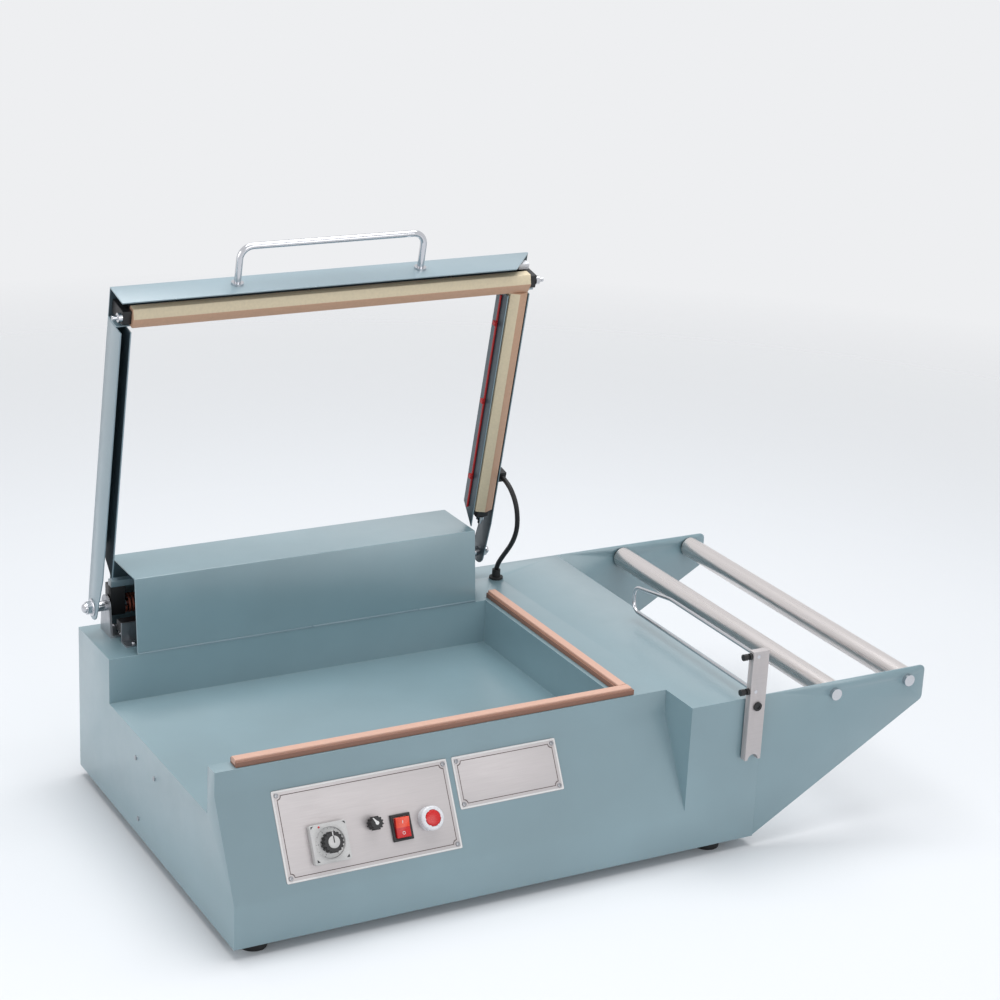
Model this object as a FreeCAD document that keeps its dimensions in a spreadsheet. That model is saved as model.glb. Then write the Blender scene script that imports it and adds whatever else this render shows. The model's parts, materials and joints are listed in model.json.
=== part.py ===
import FreeCAD, Part
import math
import os
import re

import Sketcher
from FreeCAD import Placement, Rotation, Vector

# Table-top L bar sealer with a film carrier, in millimetres.
#
# The machine is drawn in its own coordinates: X from the left side to the right,
# Y from the front face to the back, Z up from the underside of the body.
# The finished pieces are then set down with the origin at floor level, under the
# middle of the machine.  The lid is drawn closed and turned open about its hinge.

SIZES = {
    # whole machine
    "body_length": 739, "carrier_length": 261, "total_depth": 548, "body_height": 204,
    "sheet_wall": 2, "lid_open_deg": 78,
    # body: front band, slanted control panel, rail under the front seal, tray, deck
    "band_height": 58, "lip_setback": 64, "lip_height": 31, "rail_width": 22,
    "block_length": 111, "tray_right": 556, "tray_floor": 141, "tray_back": 428,
    # feet
    "foot_height": 14, "foot_radius": 20, "foot_tip_radius": 17, "foot_inset": 36, "foot_inset_right": 55,
    "foot_inset_depth": 27, "foot_bore_radius": 7, "foot_bore_depth": 6,
    # rear housing
    "housing_left": 39.5, "housing_right": 540.5, "housing_height": 103, "housing_lean": 10.5,
    "housing_top_depth": 93.5, "housing_rear_lean": 6,
    # lower seal bars
    "seal_left": 28, "seal_width": 18, "seal_bar_height": 7, "seal_rear": 438, "seal_right_inset": 15.5,
    "pad_width": 12, "pad_sink": 4, "pad_rise": 3, "pad_radius": 1.5,
    # film carrier
    "carrier_end_low": 155, "carrier_corner": 8, "carrier_flange": 22, "carrier_lift": 2,
    "roller_radius": 15, "roller_wall": 1.5, "roller_gap": 4, "axle_radius": 5, "axle_drop": 17,
    "roller_pitch": 120, "roller_end_inset": 28, "cap_depth": 12, "cap_face": 2, "running_gap": 0.05,
    "bolt_head_radius": 8, "bolt_head_height": 6,
    # film guide
    "guide_inset": 19, "guide_bar_width": 24, "guide_bar_wall": 10, "guide_bar_low": 120,
    "guide_bar_high": 273, "guide_pivot_height": 196, "guide_standoff": 2, "guide_notch_radius": 8,
    "pivot_radius": 4, "pivot_head_radius": 6, "pivot_head_height": 2, "pivot_washer_radius": 9,
    "pivot_socket_radius": 3, "wire_radius": 2.5, "wire_low": 217, "wire_rise": 49, "wire_inset": 4,
    "wire_reach": 292, "wire_nose_rise": 34, "wire_taper": 92, "wire_nose_bend": 14,
    "wire_taper_bend": 60, "clamp_radius": 2.5, "clamp_head_radius": 4.3, "clamp_head_length": 6,
    "clamp_neck": 3, "clamp_collar": 4,
    # lid
    "hinge_y": 514, "hinge_z": 244, "lid_left": 8, "lid_overhang": 45, "skirt_y": 50, "skirt_low": 216,
    "lid_top": 262, "front_bar_depth": 42, "rear_flange_low": 232, "arm_width": 15,
    "right_arm_reach": 16.5, "right_arm_width": 34, "right_arm_low": 221, "right_arm_high": 251,
    "arm_channel_end": 455, "arm_taper": 26, "hinge_eye_radius": 17, "corner_cut": 40,
    # seal jaws in the lid
    "jaw_half_width": 13, "jaw_body": 12, "jaw_nose": 5, "jaw_nose_flat": 2, "jaw_clearance": 0.3,
    "jaw_left": 24, "jaw_rear": 430, "hanger_radius": 4, "hanger_first": 90, "hanger_step": 195,
    # handle
    "handle_centre": 298, "handle_length": 258, "handle_standoff": 52, "handle_radius": 4.5,
    "handle_bend": 17, "handle_height": 240, "handle_foot_radius": 8, "handle_foot_height": 3,
    # hinge
    "shaft_radius": 7, "bracket_wall": 3, "bracket_gap": 3, "bracket_top_radius": 15,
    "bracket_foot": 40, "bracket_flange": 26, "hinge_nut_radius": 9, "hinge_nut_height": 7,
    "hinge_washer_radius": 12, "hinge_washer_height": 2, "hinge_dome_radius": 5.5,
    # spring lever, spring and switch at the left end of the hinge
    "lever_block_length": 20, "lever_block_width": 22, "lever_block_high": 29, "lever_block_low": 11,
    "lever_bar_height": 9, "lever_bar_length": 44, "lever_bar_width": 12,
    "spring_radius": 11.5, "spring_wire_radius": 1.8, "spring_turns": 6, "spring_pitch": 5, "spring_gap": 0.3,
    "switch_length": 28, "switch_depth": 17, "switch_height": 15, "switch_base": 217,
    "switch_front": 476, "switch_left": 34, "switch_foot": 20, "plate_wall": 2,
    # wire terminals and leads
    "terminal_length": 12, "terminal_width": 18, "terminal_low": 222, "tension_radius": 3,
    "tension_reach": 12, "tension_nut_radius": 6, "tension_nut_height": 5,
    "lead_radius": 1.5, "tie_length": 6, "tie_radius": 3.2, "tie_first": 45, "tie_step": 120,
    # controls on the slanted panel, measured along the panel
    "plate_left": 70, "plate_width": 236, "plate_height": 112, "plate_low": 13, "label_left": 313,
    "label_width": 148, "label_height": 66, "label_low": 59, "plate_thickness": 1, "plate_corner": 3,
    "rivet_inset": 6, "rivet_radius": 2.5, "rivet_height": 1.2,
    "timer_centre_x": 131, "timer_centre_v": 52, "timer_width": 48, "timer_height": 9, "timer_corner": 3,
    "timer_rim": 3, "timer_dial_radius": 19, "timer_knob_radius": 13, "timer_knob_height": 12,
    "timer_knob_skirt": 3, "small_knob_x": 192.5, "small_knob_v": 64, "small_knob_radius": 8.5,
    "small_knob_height": 14, "knob_flute_radius": 1.5, "knob_stem_radius": 3, "knob_stem_height": 2,
    "rocker_x": 229, "rocker_v": 53, "bezel_width": 27, "bezel_length": 33, "bezel_height": 3,
    "bezel_wall": 3.5, "rocker_rise": 5, "rocker_dip": 1.5, "rocker_tilt_deg": 7, "rocker_gap": 0.6,
    "lamp_x": 268, "lamp_v": 56.5, "ring_radius": 15, "ring_top_radius": 13.5, "ring_height": 13,
    "ring_bore": 10.5, "lens_rise": 1,
    # lead from the lid to the table
    "cable_radius": 3.5, "cable_clamp_y": 380, "cable_clamp_low": 222, "cable_clamp_height": 16,
    "cable_clamp_depth": 14, "cable_clamp_reach": 11, "cable_lead": 15, "grommet_offset": 21.5, "grommet_y": 498, "grommet_radius": 10, "grommet_flange": 3,
    "grommet_cone_radius": 6, "grommet_height": 14, "grommet_neck_radius": 7,
    # mains inlet at the back
    "gland_x": 90, "gland_z": 40, "gland_radius": 9, "gland_length": 15, "gland_bore": 4,
    "gland_nut_radius": 12, "gland_nut_height": 5,
    # rivets on the left side
    "side_rivet_radius": 3, "side_rivet_height": 1.5, "side_rivet_y": 263, "side_rivet_step": 66,
    "side_rivet_z": 107, "side_rivet_low_y": 321, "side_rivet_low_z": 24,
}

# Places worked out from the sizes, each as one named expression.
PLACES = {
    "total_length": "body_length + carrier_length",
    "block_left": "body_length - block_length",
    "seal_right_centre": "tray_right + seal_right_inset",
    "right_arm_left": "seal_right_centre - right_arm_reach",
    "lid_right": "right_arm_left + lid_overhang",
    "roller_far": "total_length - roller_end_inset",
    "roller_near": "roller_far - roller_pitch",
    "guide_bar_centre": "body_length - guide_inset",
    "rail_back": "lip_setback + rail_width",
    "lip_low": "body_height - lip_height",
    "panel_rise": "lip_low - band_height",
    "rail_middle": "lip_setback + rail_width / 2",
    "seal_top": "body_height + seal_bar_height + pad_rise",
    "jaw_tip": "seal_top + jaw_clearance",
    "jaw_low": "jaw_tip + jaw_nose",
    "jaw_top": "jaw_low + jaw_body",
    "housing_top": "body_height + housing_height",
    "housing_ridge": "tray_back + housing_lean",
    "housing_back": "housing_ridge + housing_top_depth + housing_rear_lean",
    "skirt_inner": "skirt_y + sheet_wall",
    "front_bar_back": "skirt_y + front_bar_depth",
    "web_under": "lid_top - sheet_wall",
    "right_web_under": "right_arm_high - sheet_wall",
    "right_arm_right": "right_arm_left + right_arm_width",
    "axle_z": "body_height - axle_drop",
    "tube_start": "sheet_wall + roller_gap",
    "inner_back": "total_depth - sheet_wall",
    "bracket_left_x": "lid_left + arm_width + bracket_gap",
    "bracket_right_x": "right_arm_left - bracket_gap - bracket_wall",
    "shaft_left": "lid_left + sheet_wall",
    "shaft_right": "right_arm_right - sheet_wall",
    "lever_left": "bracket_left_x + bracket_wall + bracket_gap / 3",
    "guide_left": "guide_bar_centre - guide_bar_width / 2",
    "guide_back": "-guide_standoff",
    "guide_front": "-guide_standoff - guide_bar_wall",
    "wire_x": "guide_bar_centre - wire_inset",
    "wire_high": "wire_low + wire_rise",
    "jaw_right_end": "seal_right_centre + jaw_half_width",
    "grommet_x": "right_arm_right + grommet_offset",
    "grommet_top": "body_height + grommet_height",
}

doc = FreeCAD.newDocument("LBarSealer")
sheet = doc.addObject("Spreadsheet::Sheet", "Sizes")
for row, (size_name, size_value) in enumerate(SIZES.items(), start=1):
    sheet.set(f"A{row}", size_name)
    sheet.set(f"B{row}", str(size_value))
    sheet.setAlias(f"B{row}", size_name)
places = doc.addObject("App::VarSet", "Places")
doc.recompute()

NAME = re.compile(r"[a-z]+(?:_[a-z]+)+")


def cell(text):
    """An expression with every size and place name pointing at its cell."""
    def owner(match):
        name = match.group()
        return f"Places.{name}" if name in PLACES else f"Sizes.{name}"
    return NAME.sub(owner, str(text))


for place_name, place_text in PLACES.items():
    places.addProperty("App::PropertyFloat", place_name, "Places")
    places.setExpression(place_name, cell(place_text))
doc.recompute()


def number(text):
    """The value of an expression now."""
    value = sheet.evalExpression(cell(text))
    return float(getattr(value, "Value", value))


# ---------------------------------------------------------------- placements

HINGE_TURN = "(lid_open_deg * 1 deg)"
PANEL_TURN = "(atan(panel_rise / lip_setback))"


def set_base(piece, x, y, z):
    for axis, text in zip("xyz", (x, y, z)):
        piece.setExpression(f"Placement.Base.{axis}", cell(text))


def turn(piece, axis, text):
    piece.Placement = Placement(Vector(), Rotation(axis, number(text)))
    piece.setExpression("Placement.Rotation.Angle", cell(text))


def on_base(piece):
    """Set a piece drawn in machine coordinates down on its feet."""
    set_base(piece, "-total_length / 2", "-total_depth / 2", "foot_height")


def on_lid(piece):
    """Turn a piece drawn with the lid closed to the open lid."""
    turn(piece, Vector(-1, 0, 0), HINGE_TURN)
    cosine, sine = f"cos({HINGE_TURN})", f"sin({HINGE_TURN})"
    set_base(
        piece,
        "-total_length / 2",
        f"-total_depth / 2 + hinge_y - hinge_y * {cosine} - hinge_z * {sine}",
        f"foot_height + hinge_z + hinge_y * {sine} - hinge_z * {cosine}",
    )


def on_panel(piece):
    """Lay a piece drawn flat (X along, Y up the slope, Z outwards) on the slanted panel."""
    turn(piece, Vector(1, 0, 0), PANEL_TURN)
    set_base(piece, "-total_length / 2", "-total_depth / 2", "foot_height + band_height")


# ------------------------------------------------------------------ features

subparts = []


def keep(piece, label, place):
    piece.Label = label
    place(piece)
    subparts.append(piece)
    return piece


def new_body(label, place):
    body = doc.addObject("PartDesign::Body", "Body_" + label)
    return keep(body, label, place)


def new_sketch(body, plane, start):
    """A sketch on one of the body's planes, moved along +X, +Y or +Z to start."""
    sketch = body.newObject("Sketcher::SketchObject", "Sketch")
    role = plane + "_Plane"
    origin_plane = next(item for item in body.Origin.OriginFeatures if item.Role == role)
    sketch.AttachmentSupport = [(origin_plane, "")]
    sketch.MapMode = "FlatFace"
    sign = "-" if plane == "XZ" else ""
    sketch.setExpression("AttachmentOffset.Base.z", cell(f"{sign}({start})"))
    return sketch


def bind(sketch, kind, items, text):
    index = sketch.addConstraint(Sketcher.Constraint(kind, *items, number(text)))
    sketch.setExpression(f"Constraints[{index}]", cell(text))


def polygon(sketch, points):
    values = [Vector(number(x), number(y), 0) for x, y in points]
    count = len(points)
    first = sketch.GeometryCount
    for index in range(count):
        sketch.addGeometry(Part.LineSegment(values[index], values[(index + 1) % count]), False)
    for index in range(count):
        joined = ("Coincident", first + index, 2, first + (index + 1) % count, 1)
        sketch.addConstraint(Sketcher.Constraint(*joined))
    for index, (x, y) in enumerate(points):
        bind(sketch, "DistanceX", (-1, 1, first + index, 1), x)
        bind(sketch, "DistanceY", (-1, 1, first + index, 1), y)


def circle(sketch, x, y, radius):
    centre = Vector(number(x), number(y), 0)
    index = sketch.addGeometry(Part.Circle(centre, Vector(0, 0, 1), number(radius)), False)
    bind(sketch, "DistanceX", (-1, 1, index, 3), x)
    bind(sketch, "DistanceY", (-1, 1, index, 3), y)
    bind(sketch, "Radius", (index,), radius)


def box_points(left, low, right, high):
    return [(left, low), (right, low), (right, high), (left, high)]


def add(body, plane, start, length, draw):
    """Pad what draw() puts in a sketch, towards +X, +Y or +Z."""
    sketch = new_sketch(body, plane, start)
    draw(sketch)
    pad = body.newObject("PartDesign::Pad", "Pad")
    pad.Profile = sketch
    pad.Reversed = plane == "XZ"
    pad.setExpression("Length", cell(length))
    body.Tip = pad
    return pad


def cut(body, plane, start, length, draw):
    """Pocket what draw() puts in a sketch, towards +X, +Y or +Z."""
    doc.recompute()
    before = body.Shape.Volume
    sketch = new_sketch(body, plane, start)
    draw(sketch)
    pocket = body.newObject("PartDesign::Pocket", "Pocket")
    pocket.Profile = sketch
    pocket.Reversed = plane != "XZ"
    pocket.setExpression("Length", cell(length))
    body.Tip = pocket
    doc.recompute()
    if not body.Shape.Volume < before:
        raise RuntimeError(f"a pocket of {body.Label} cuts nothing")
    return pocket


def revolve(body, plane, draw, axis):
    sketch = new_sketch(body, plane, "0")
    draw(sketch)
    turned = body.newObject("PartDesign::Revolution", "Revolution")
    turned.Profile = sketch
    turned.ReferenceAxis = (sketch, [axis])
    turned.Angle = 360
    body.Tip = turned
    return turned


def soften(body, kind, size, chosen):
    """Fillet or chamfer the edges that chosen(edge) picks."""
    doc.recompute()
    base = body.Tip
    names = [f"Edge{i}" for i, edge in enumerate(base.Shape.Edges, start=1) if chosen(edge)]
    if not names:
        raise RuntimeError(f"no edge to soften on {body.Label}")
    soft = body.newObject("PartDesign::" + kind, kind)
    soft.Base = (base, names)
    soft.setExpression("Radius" if kind == "Fillet" else "Size", cell(size))
    body.Tip = soft
    return soft


def along(axis):
    """Chooses straight edges that run along one axis."""
    def chosen(edge):
        if not isinstance(edge.Curve, (Part.Line, Part.LineSegment)):
            return False
        return abs(edge.tangentAt(edge.FirstParameter).dot(axis)) > 0.999
    return chosen


X_AXIS, Y_AXIS, Z_AXIS = Vector(1, 0, 0), Vector(0, 1, 0), Vector(0, 0, 1)


def plain_box(label, place, x, y, z):
    """A plain block between two named limits on each axis."""
    body = new_body(label, place)
    add(body, "XY", z[0], f"{z[1]} - ({z[0]})", lambda s: polygon(s, box_points(x[0], y[0], x[1], y[1])))
    return body


def group(label, place, pieces):
    """Identical small pieces in one node, each a solid of its own."""
    compound = doc.addObject("Part::Compound", "Group_" + label)
    compound.Links = pieces
    return keep(compound, label, place)


def stud(radius, length, axis, x, y, z):
    """A cylinder that starts at a point and runs along an axis."""
    piece = doc.addObject("Part::Cylinder", "Stud")
    piece.setExpression("Radius", cell(radius))
    piece.setExpression("Height", cell(length))
    piece.Placement = Placement(Vector(), Rotation(Z_AXIS, axis))
    set_base(piece, x, y, z)
    return piece


# -------------------------------------------------------------- bent rods

def bent_path(points, bends):
    """Straight runs through points, joined by tangent arcs of the given radii."""
    edges = []
    start = points[0]
    for index, bend in enumerate(bends, start=1):
        corner = points[index]
        come = (corner - points[index - 1]).normalize()
        leave = (points[index + 1] - corner).normalize()
        half_turn = come.getAngle(leave) / 2
        reach = bend * math.tan(half_turn)
        first, last = corner - come * reach, corner + leave * reach
        inward = (leave - come).normalize()
        middle = corner + inward * (bend / math.cos(half_turn) - bend)
        edges.append(Part.LineSegment(start, first).toShape())
        edges.append(Part.Arc(first, middle, last).toShape())
        start = last
    edges.append(Part.LineSegment(start, points[-1]).toShape())
    return Part.Wire(edges)


def round_bar(path, radius):
    """A round section swept along a path."""
    first = path.Edges[0]
    direction = first.tangentAt(first.FirstParameter)
    section = Part.Wire(Part.Circle(first.valueAt(first.FirstParameter), direction, radius).toShape())
    return path.makePipeShell([section], True, True)


def bent_rod(label, place, shape):
    piece = doc.addObject("Part::Feature", "Rod_" + label)
    piece.Shape = shape
    return keep(piece, label, place)


# ================================================================ the body

def make_base_shell():
    shell = new_body("base_shell", on_base)
    add(shell, "YZ", "0", "body_length",
        lambda s: polygon(s, box_points("0", "0", "total_depth", "body_height")))
    recess = [("0", "band_height"), ("lip_setback", "lip_low"),
              ("lip_setback", "body_height"), ("0", "body_height")]
    cut(shell, "YZ", "0", "block_left", lambda s: polygon(s, recess))
    cut(shell, "YZ", "0", "tray_right",
        lambda s: polygon(s, box_points("rail_back", "tray_floor", "tray_back", "body_height")))
    # the inside, in three lengths: under the tray, under the table, in the right block
    wall_top = "body_height - sheet_wall"
    floor_under = "tray_floor - sheet_wall"
    slope = [("sheet_wall", "0"), ("sheet_wall", "band_height"),
             ("lip_setback + sheet_wall", "lip_low"), ("lip_setback + sheet_wall", wall_top)]
    back = [("inner_back", wall_top), ("inner_back", "0")]
    under_tray = slope + [
        ("rail_back - sheet_wall", wall_top), ("rail_back - sheet_wall", floor_under),
        ("tray_back + sheet_wall", floor_under), ("tray_back + sheet_wall", wall_top)] + back
    cut(shell, "YZ", "sheet_wall", "tray_right", lambda s: polygon(s, under_tray))
    cut(shell, "YZ", "tray_right + sheet_wall", "block_left - tray_right",
        lambda s: polygon(s, slope + back))
    cut(shell, "YZ", "block_left + sheet_wall", "body_length - block_left - 2 * sheet_wall",
        lambda s: polygon(s, box_points("sheet_wall", "0", "inner_back", wall_top)))
    # holes for the lid's lead and the mains gland
    cut(shell, "XY", wall_top, "sheet_wall",
        lambda s: circle(s, "grommet_x", "grommet_y", "grommet_neck_radius + running_gap"))
    cut(shell, "XZ", "inner_back", "sheet_wall",
        lambda s: circle(s, "gland_x", "gland_z", "gland_radius + running_gap"))
    return shell


def make_bottom_plate():
    return plain_box("bottom_plate", on_base, ("sheet_wall", "body_length - sheet_wall"),
                     ("sheet_wall", "inner_back"), ("0", "sheet_wall"))


def make_feet():
    """Four rubber feet, each a cone with a sunk screw hole."""
    pieces = []
    for x in ("foot_inset", "body_length - foot_inset_right"):
        for y in ("foot_inset_depth", "total_depth - foot_inset_depth"):
            cone = doc.addObject("Part::Cone", "FootCone")
            cone.setExpression("Radius1", cell("foot_tip_radius"))
            cone.setExpression("Radius2", cell("foot_radius"))
            cone.setExpression("Height", cell("foot_height"))
            set_base(cone, x, y, "-foot_height")
            bore = stud("foot_bore_radius", "foot_bore_depth", Z_AXIS, x, y, "-foot_height")
            foot = doc.addObject("Part::Cut", "Foot")
            foot.Base, foot.Tool = cone, bore
            pieces.append(foot)
    return group("feet", on_base, pieces)


def make_housing():
    housing = new_body("housing_cover", on_base)
    front_low, front_high = "tray_back", "housing_ridge"
    back_high = "housing_ridge + housing_top_depth"
    outer = [(front_low, "body_height"), ("housing_back", "body_height"),
             (back_high, "housing_top"), (front_high, "housing_top")]
    inner = [(f"{front_low} + sheet_wall", "body_height"), ("housing_back - sheet_wall", "body_height"),
             (f"{back_high} - sheet_wall", "housing_top - sheet_wall"),
             (f"{front_high} + sheet_wall", "housing_top - sheet_wall")]
    length = "housing_right - housing_left"
    add(housing, "YZ", "housing_left", length, lambda s: polygon(s, outer))
    cut(housing, "YZ", "housing_left", length, lambda s: polygon(s, inner))
    return housing


def make_carrier_plates():
    """Side plates of the film carrier, flanged to the body's right wall."""
    outline = [("body_length", "carrier_lift"), ("total_length", "carrier_end_low"),
               ("total_length", "body_height"), ("body_length", "body_height")]
    walls = {
        "carrier_plate_front": ("0", "sheet_wall"),
        "carrier_plate_rear": ("inner_back", "inner_back - carrier_flange + sheet_wall"),
    }
    for label, (start, flange_start) in walls.items():
        plate = new_body(label, on_base)
        add(plate, "XZ", start, "sheet_wall", lambda s: polygon(s, outline))
        flange_length = "carrier_flange - sheet_wall"
        add(plate, "XZ", flange_start, flange_length, lambda s: polygon(s, box_points(
            "body_length", "carrier_lift", "body_length + sheet_wall", "body_height")))
        cut(plate, "XZ", start, "sheet_wall", lambda s: [
            circle(s, x, "axle_z", "axle_radius") for x in ("roller_near", "roller_far")])
        end = number("total_length")

        def far_corner(edge):
            return along(Y_AXIS)(edge) and abs(edge.CenterOfMass.x - end) < 0.01
        soften(plate, "Fillet", "carrier_corner", far_corner)


def make_side_rivets():
    spots = [("side_rivet_y", "side_rivet_z"), ("side_rivet_y + side_rivet_step", "side_rivet_z"),
             ("side_rivet_low_y", "side_rivet_low_z")]
    pieces = [stud("side_rivet_radius", "side_rivet_height", X_AXIS, "-side_rivet_height", y, z)
              for y, z in spots]
    return group("side_rivets", on_base, pieces)


def make_gland():
    """Mains inlet in the back wall: a bush through the wall with a nut and a cable bore."""
    gland = new_body("mains_gland", on_base)
    add(gland, "XZ", "inner_back", "gland_length",
        lambda s: circle(s, "gland_x", "gland_z", "gland_radius"))
    add(gland, "XZ", "total_depth", "gland_nut_height",
        lambda s: circle(s, "gland_x", "gland_z", "gland_nut_radius"))
    cut(gland, "XZ", "inner_back", "gland_length", lambda s: circle(s, "gland_x", "gland_z", "gland_bore"))
    return gland


# ====================================================== lower seal bars

def make_lower_seals():
    bar_top = "body_height + seal_bar_height"
    groove = f"{bar_top} - pad_sink"
    low_y, high_y = "rail_middle - seal_width / 2", "rail_middle + seal_width / 2"
    low_x, high_x = "seal_right_centre - seal_width / 2", "seal_right_centre + seal_width / 2"
    front = new_body("lower_bar_front", on_base)
    add(front, "YZ", "seal_left", f"{high_x} - seal_left",
        lambda s: polygon(s, box_points(low_y, "body_height", high_y, bar_top)))
    cut(front, "YZ", "seal_left", "seal_right_centre + pad_width / 2 - seal_left",
        lambda s: polygon(s, box_points(
            "rail_middle - pad_width / 2", groove, "rail_middle + pad_width / 2", bar_top)))
    cut(front, "XY", groove, "pad_sink", lambda s: polygon(s, box_points(
        "seal_right_centre - pad_width / 2", "rail_middle + pad_width / 2",
        "seal_right_centre + pad_width / 2", high_y)))
    side = new_body("lower_bar_right", on_base)
    add(side, "XZ", high_y, f"seal_rear - ({high_y})",
        lambda s: polygon(s, box_points(low_x, "body_height", high_x, bar_top)))
    cut(side, "XZ", high_y, f"seal_rear - ({high_y})", lambda s: polygon(s, box_points(
        "seal_right_centre - pad_width / 2", groove, "seal_right_centre + pad_width / 2", bar_top)))
    pad_front = new_body("lower_pad_front", on_base)
    add(pad_front, "YZ", "seal_left", "seal_right_centre + pad_width / 2 - seal_left",
        lambda s: polygon(s, box_points(
            "rail_middle - pad_width / 2", groove, "rail_middle + pad_width / 2", "seal_top")))
    top = number("seal_top")

    def upper_edges(axis):
        return lambda edge: along(axis)(edge) and abs(edge.CenterOfMass.z - top) < 0.01
    soften(pad_front, "Fillet", "pad_radius", upper_edges(X_AXIS))
    pad_side = new_body("lower_pad_right", on_base)
    pad_start = "rail_middle + pad_width / 2"
    add(pad_side, "XZ", pad_start, f"seal_rear - ({pad_start})", lambda s: polygon(s, box_points(
        "seal_right_centre - pad_width / 2", groove, "seal_right_centre + pad_width / 2", "seal_top")))
    soften(pad_side, "Fillet", "pad_radius", upper_edges(Y_AXIS))


# ============================================================ film carrier

def make_rollers():
    """Two free tubes with plastic end bearings, each on a fixed axle."""
    tube_length = "total_depth - 2 * tube_start"
    bore = "roller_radius - roller_wall"
    for label, x in (("roller_near", "roller_near"), ("roller_far", "roller_far")):
        tube = new_body(label + "_tube", on_base)
        add(tube, "XZ", "tube_start", tube_length, lambda s: circle(s, x, "axle_z", "roller_radius"))
        cut(tube, "XZ", "tube_start", tube_length, lambda s: circle(s, x, "axle_z", bore))
        caps = []
        for end in ("front", "rear"):
            face_start = "tube_start - cap_face" if end == "front" else "total_depth - tube_start"
            plug_start = "tube_start" if end == "front" else "total_depth - tube_start - cap_depth"
            face = stud("roller_radius - roller_wall / 2", "cap_face", Y_AXIS, x, face_start, "axle_z")
            plug = stud(bore, "cap_depth", Y_AXIS, x, plug_start, "axle_z")
            bored = face_start if end == "front" else plug_start
            hole = stud("axle_radius + running_gap", "cap_face + cap_depth", Y_AXIS, x, bored, "axle_z")
            whole = doc.addObject("Part::Fuse", "CapBlank")
            whole.Base, whole.Tool = face, plug
            cap = doc.addObject("Part::Cut", "Cap")
            cap.Base, cap.Tool = whole, hole
            caps.append(cap)
        group(label + "_caps", on_base, caps)
    axles = [stud("axle_radius", "total_depth", Y_AXIS, x, "0", "axle_z")
             for x in ("roller_near", "roller_far")]
    group("roller_axles", on_base, axles)
    heads = []
    for x in ("roller_near", "roller_far"):
        heads.append(stud("bolt_head_radius", "bolt_head_height", Y_AXIS, x, "-bolt_head_height", "axle_z"))
        heads.append(stud("bolt_head_radius", "bolt_head_height", Y_AXIS, x, "total_depth", "axle_z"))
    group("roller_bolts", on_base, heads)


# ============================================================== film guide

def make_film_guide():
    spot = ("guide_bar_centre", "guide_pivot_height")
    # shoulder screw: washer, shank and socket head in one turned piece
    pivot = new_body("guide_pivot", on_base)
    add(pivot, "XZ", "guide_back", "guide_standoff", lambda s: circle(s, *spot, "pivot_washer_radius"))
    add(pivot, "XZ", "guide_front - running_gap", "guide_bar_wall + running_gap",
        lambda s: circle(s, *spot, "pivot_radius"))
    head_start = "guide_front - running_gap - pivot_head_height"
    add(pivot, "XZ", head_start, "pivot_head_height", lambda s: circle(s, *spot, "pivot_head_radius"))
    cut(pivot, "XZ", head_start, "pivot_head_height / 2",
        lambda s: circle(s, *spot, "pivot_socket_radius"))
    # upright bar with the pivot hole, a bore for each end of the wire and an arched foot
    bar = new_body("guide_bar", on_base)
    heights = ("wire_low", "wire_high")
    add(bar, "XZ", "guide_front", "guide_bar_wall", lambda s: polygon(s, box_points(
        "guide_left", "guide_bar_low", "guide_left + guide_bar_width", "guide_bar_high")))
    cut(bar, "XZ", "guide_front", "guide_bar_wall", lambda s: [
        circle(s, *spot, "pivot_radius + running_gap"),
        *[circle(s, "wire_x", height, "wire_radius + running_gap") for height in heights]])
    cut(bar, "XZ", "guide_front", "guide_bar_wall",
        lambda s: circle(s, "guide_bar_centre", "guide_bar_low", "guide_notch_radius"))
    middle = "(guide_front + guide_back) / 2"
    cut(bar, "YZ", "guide_left", "wire_x - guide_left",
        lambda s: [circle(s, middle, height, "clamp_radius + running_gap") for height in heights])
    # clamp screws in the bar's left edge, each with a collar and a round head
    screws = []
    for height in heights:
        lengths = [
            ("clamp_radius", "guide_left - clamp_collar - clamp_neck",
             "clamp_collar + clamp_neck + wire_x - wire_radius - 2 * running_gap - guide_left"),
            ("clamp_head_radius", "guide_left - clamp_collar", "clamp_collar"),
            ("clamp_head_radius", "guide_left - clamp_collar - clamp_neck - clamp_head_length",
             "clamp_head_length"),
        ]
        screw = doc.addObject("Part::MultiFuse", "ClampScrew")
        screw.Shapes = [stud(radius, length, X_AXIS, start, middle, height)
                        for radius, start, length in lengths]
        screws.append(screw)
    group("clamp_screws", on_base, screws)
    # the film-spreading wire: a long hairpin whose upper run dips to its nose
    low, high = number("wire_low"), number("wire_high")
    front, reach = number("guide_front"), number("wire_reach")
    x = number("wire_x")
    nose = low + number("wire_nose_rise")
    points = [Vector(x, front, low), Vector(x, reach, low), Vector(x, reach, nose),
              Vector(x, reach - number("wire_taper"), high), Vector(x, front, high)]
    bends = [number("wire_nose_bend"), number("wire_nose_bend"), number("wire_taper_bend")]
    bent_rod("film_wire", on_base, round_bar(bent_path(points, bends), number("wire_radius")))


# ==================================================================== lid

def channel(left, right, low_left, low_right, top):
    """Outline of an inverted channel, seen along it."""
    return [(left, low_left), (f"{left} + sheet_wall", low_left),
            (f"{left} + sheet_wall", f"{top} - sheet_wall"), (f"{right} - sheet_wall", f"{top} - sheet_wall"),
            (f"{right} - sheet_wall", low_right), (right, low_right), (right, top), (left, top)]


def hinge_plate(body, start, root, low, top):
    """The flat end of an arm: runs back to the hinge and rounds about it."""
    outline = [(root, low), ("hinge_y", "hinge_z - hinge_eye_radius"),
               ("hinge_y", "hinge_z + hinge_eye_radius"), (root, top)]
    add(body, "YZ", start, "sheet_wall", lambda s: polygon(s, outline))
    add(body, "YZ", start, "sheet_wall", lambda s: circle(s, "hinge_y", "hinge_z", "hinge_eye_radius"))


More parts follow.
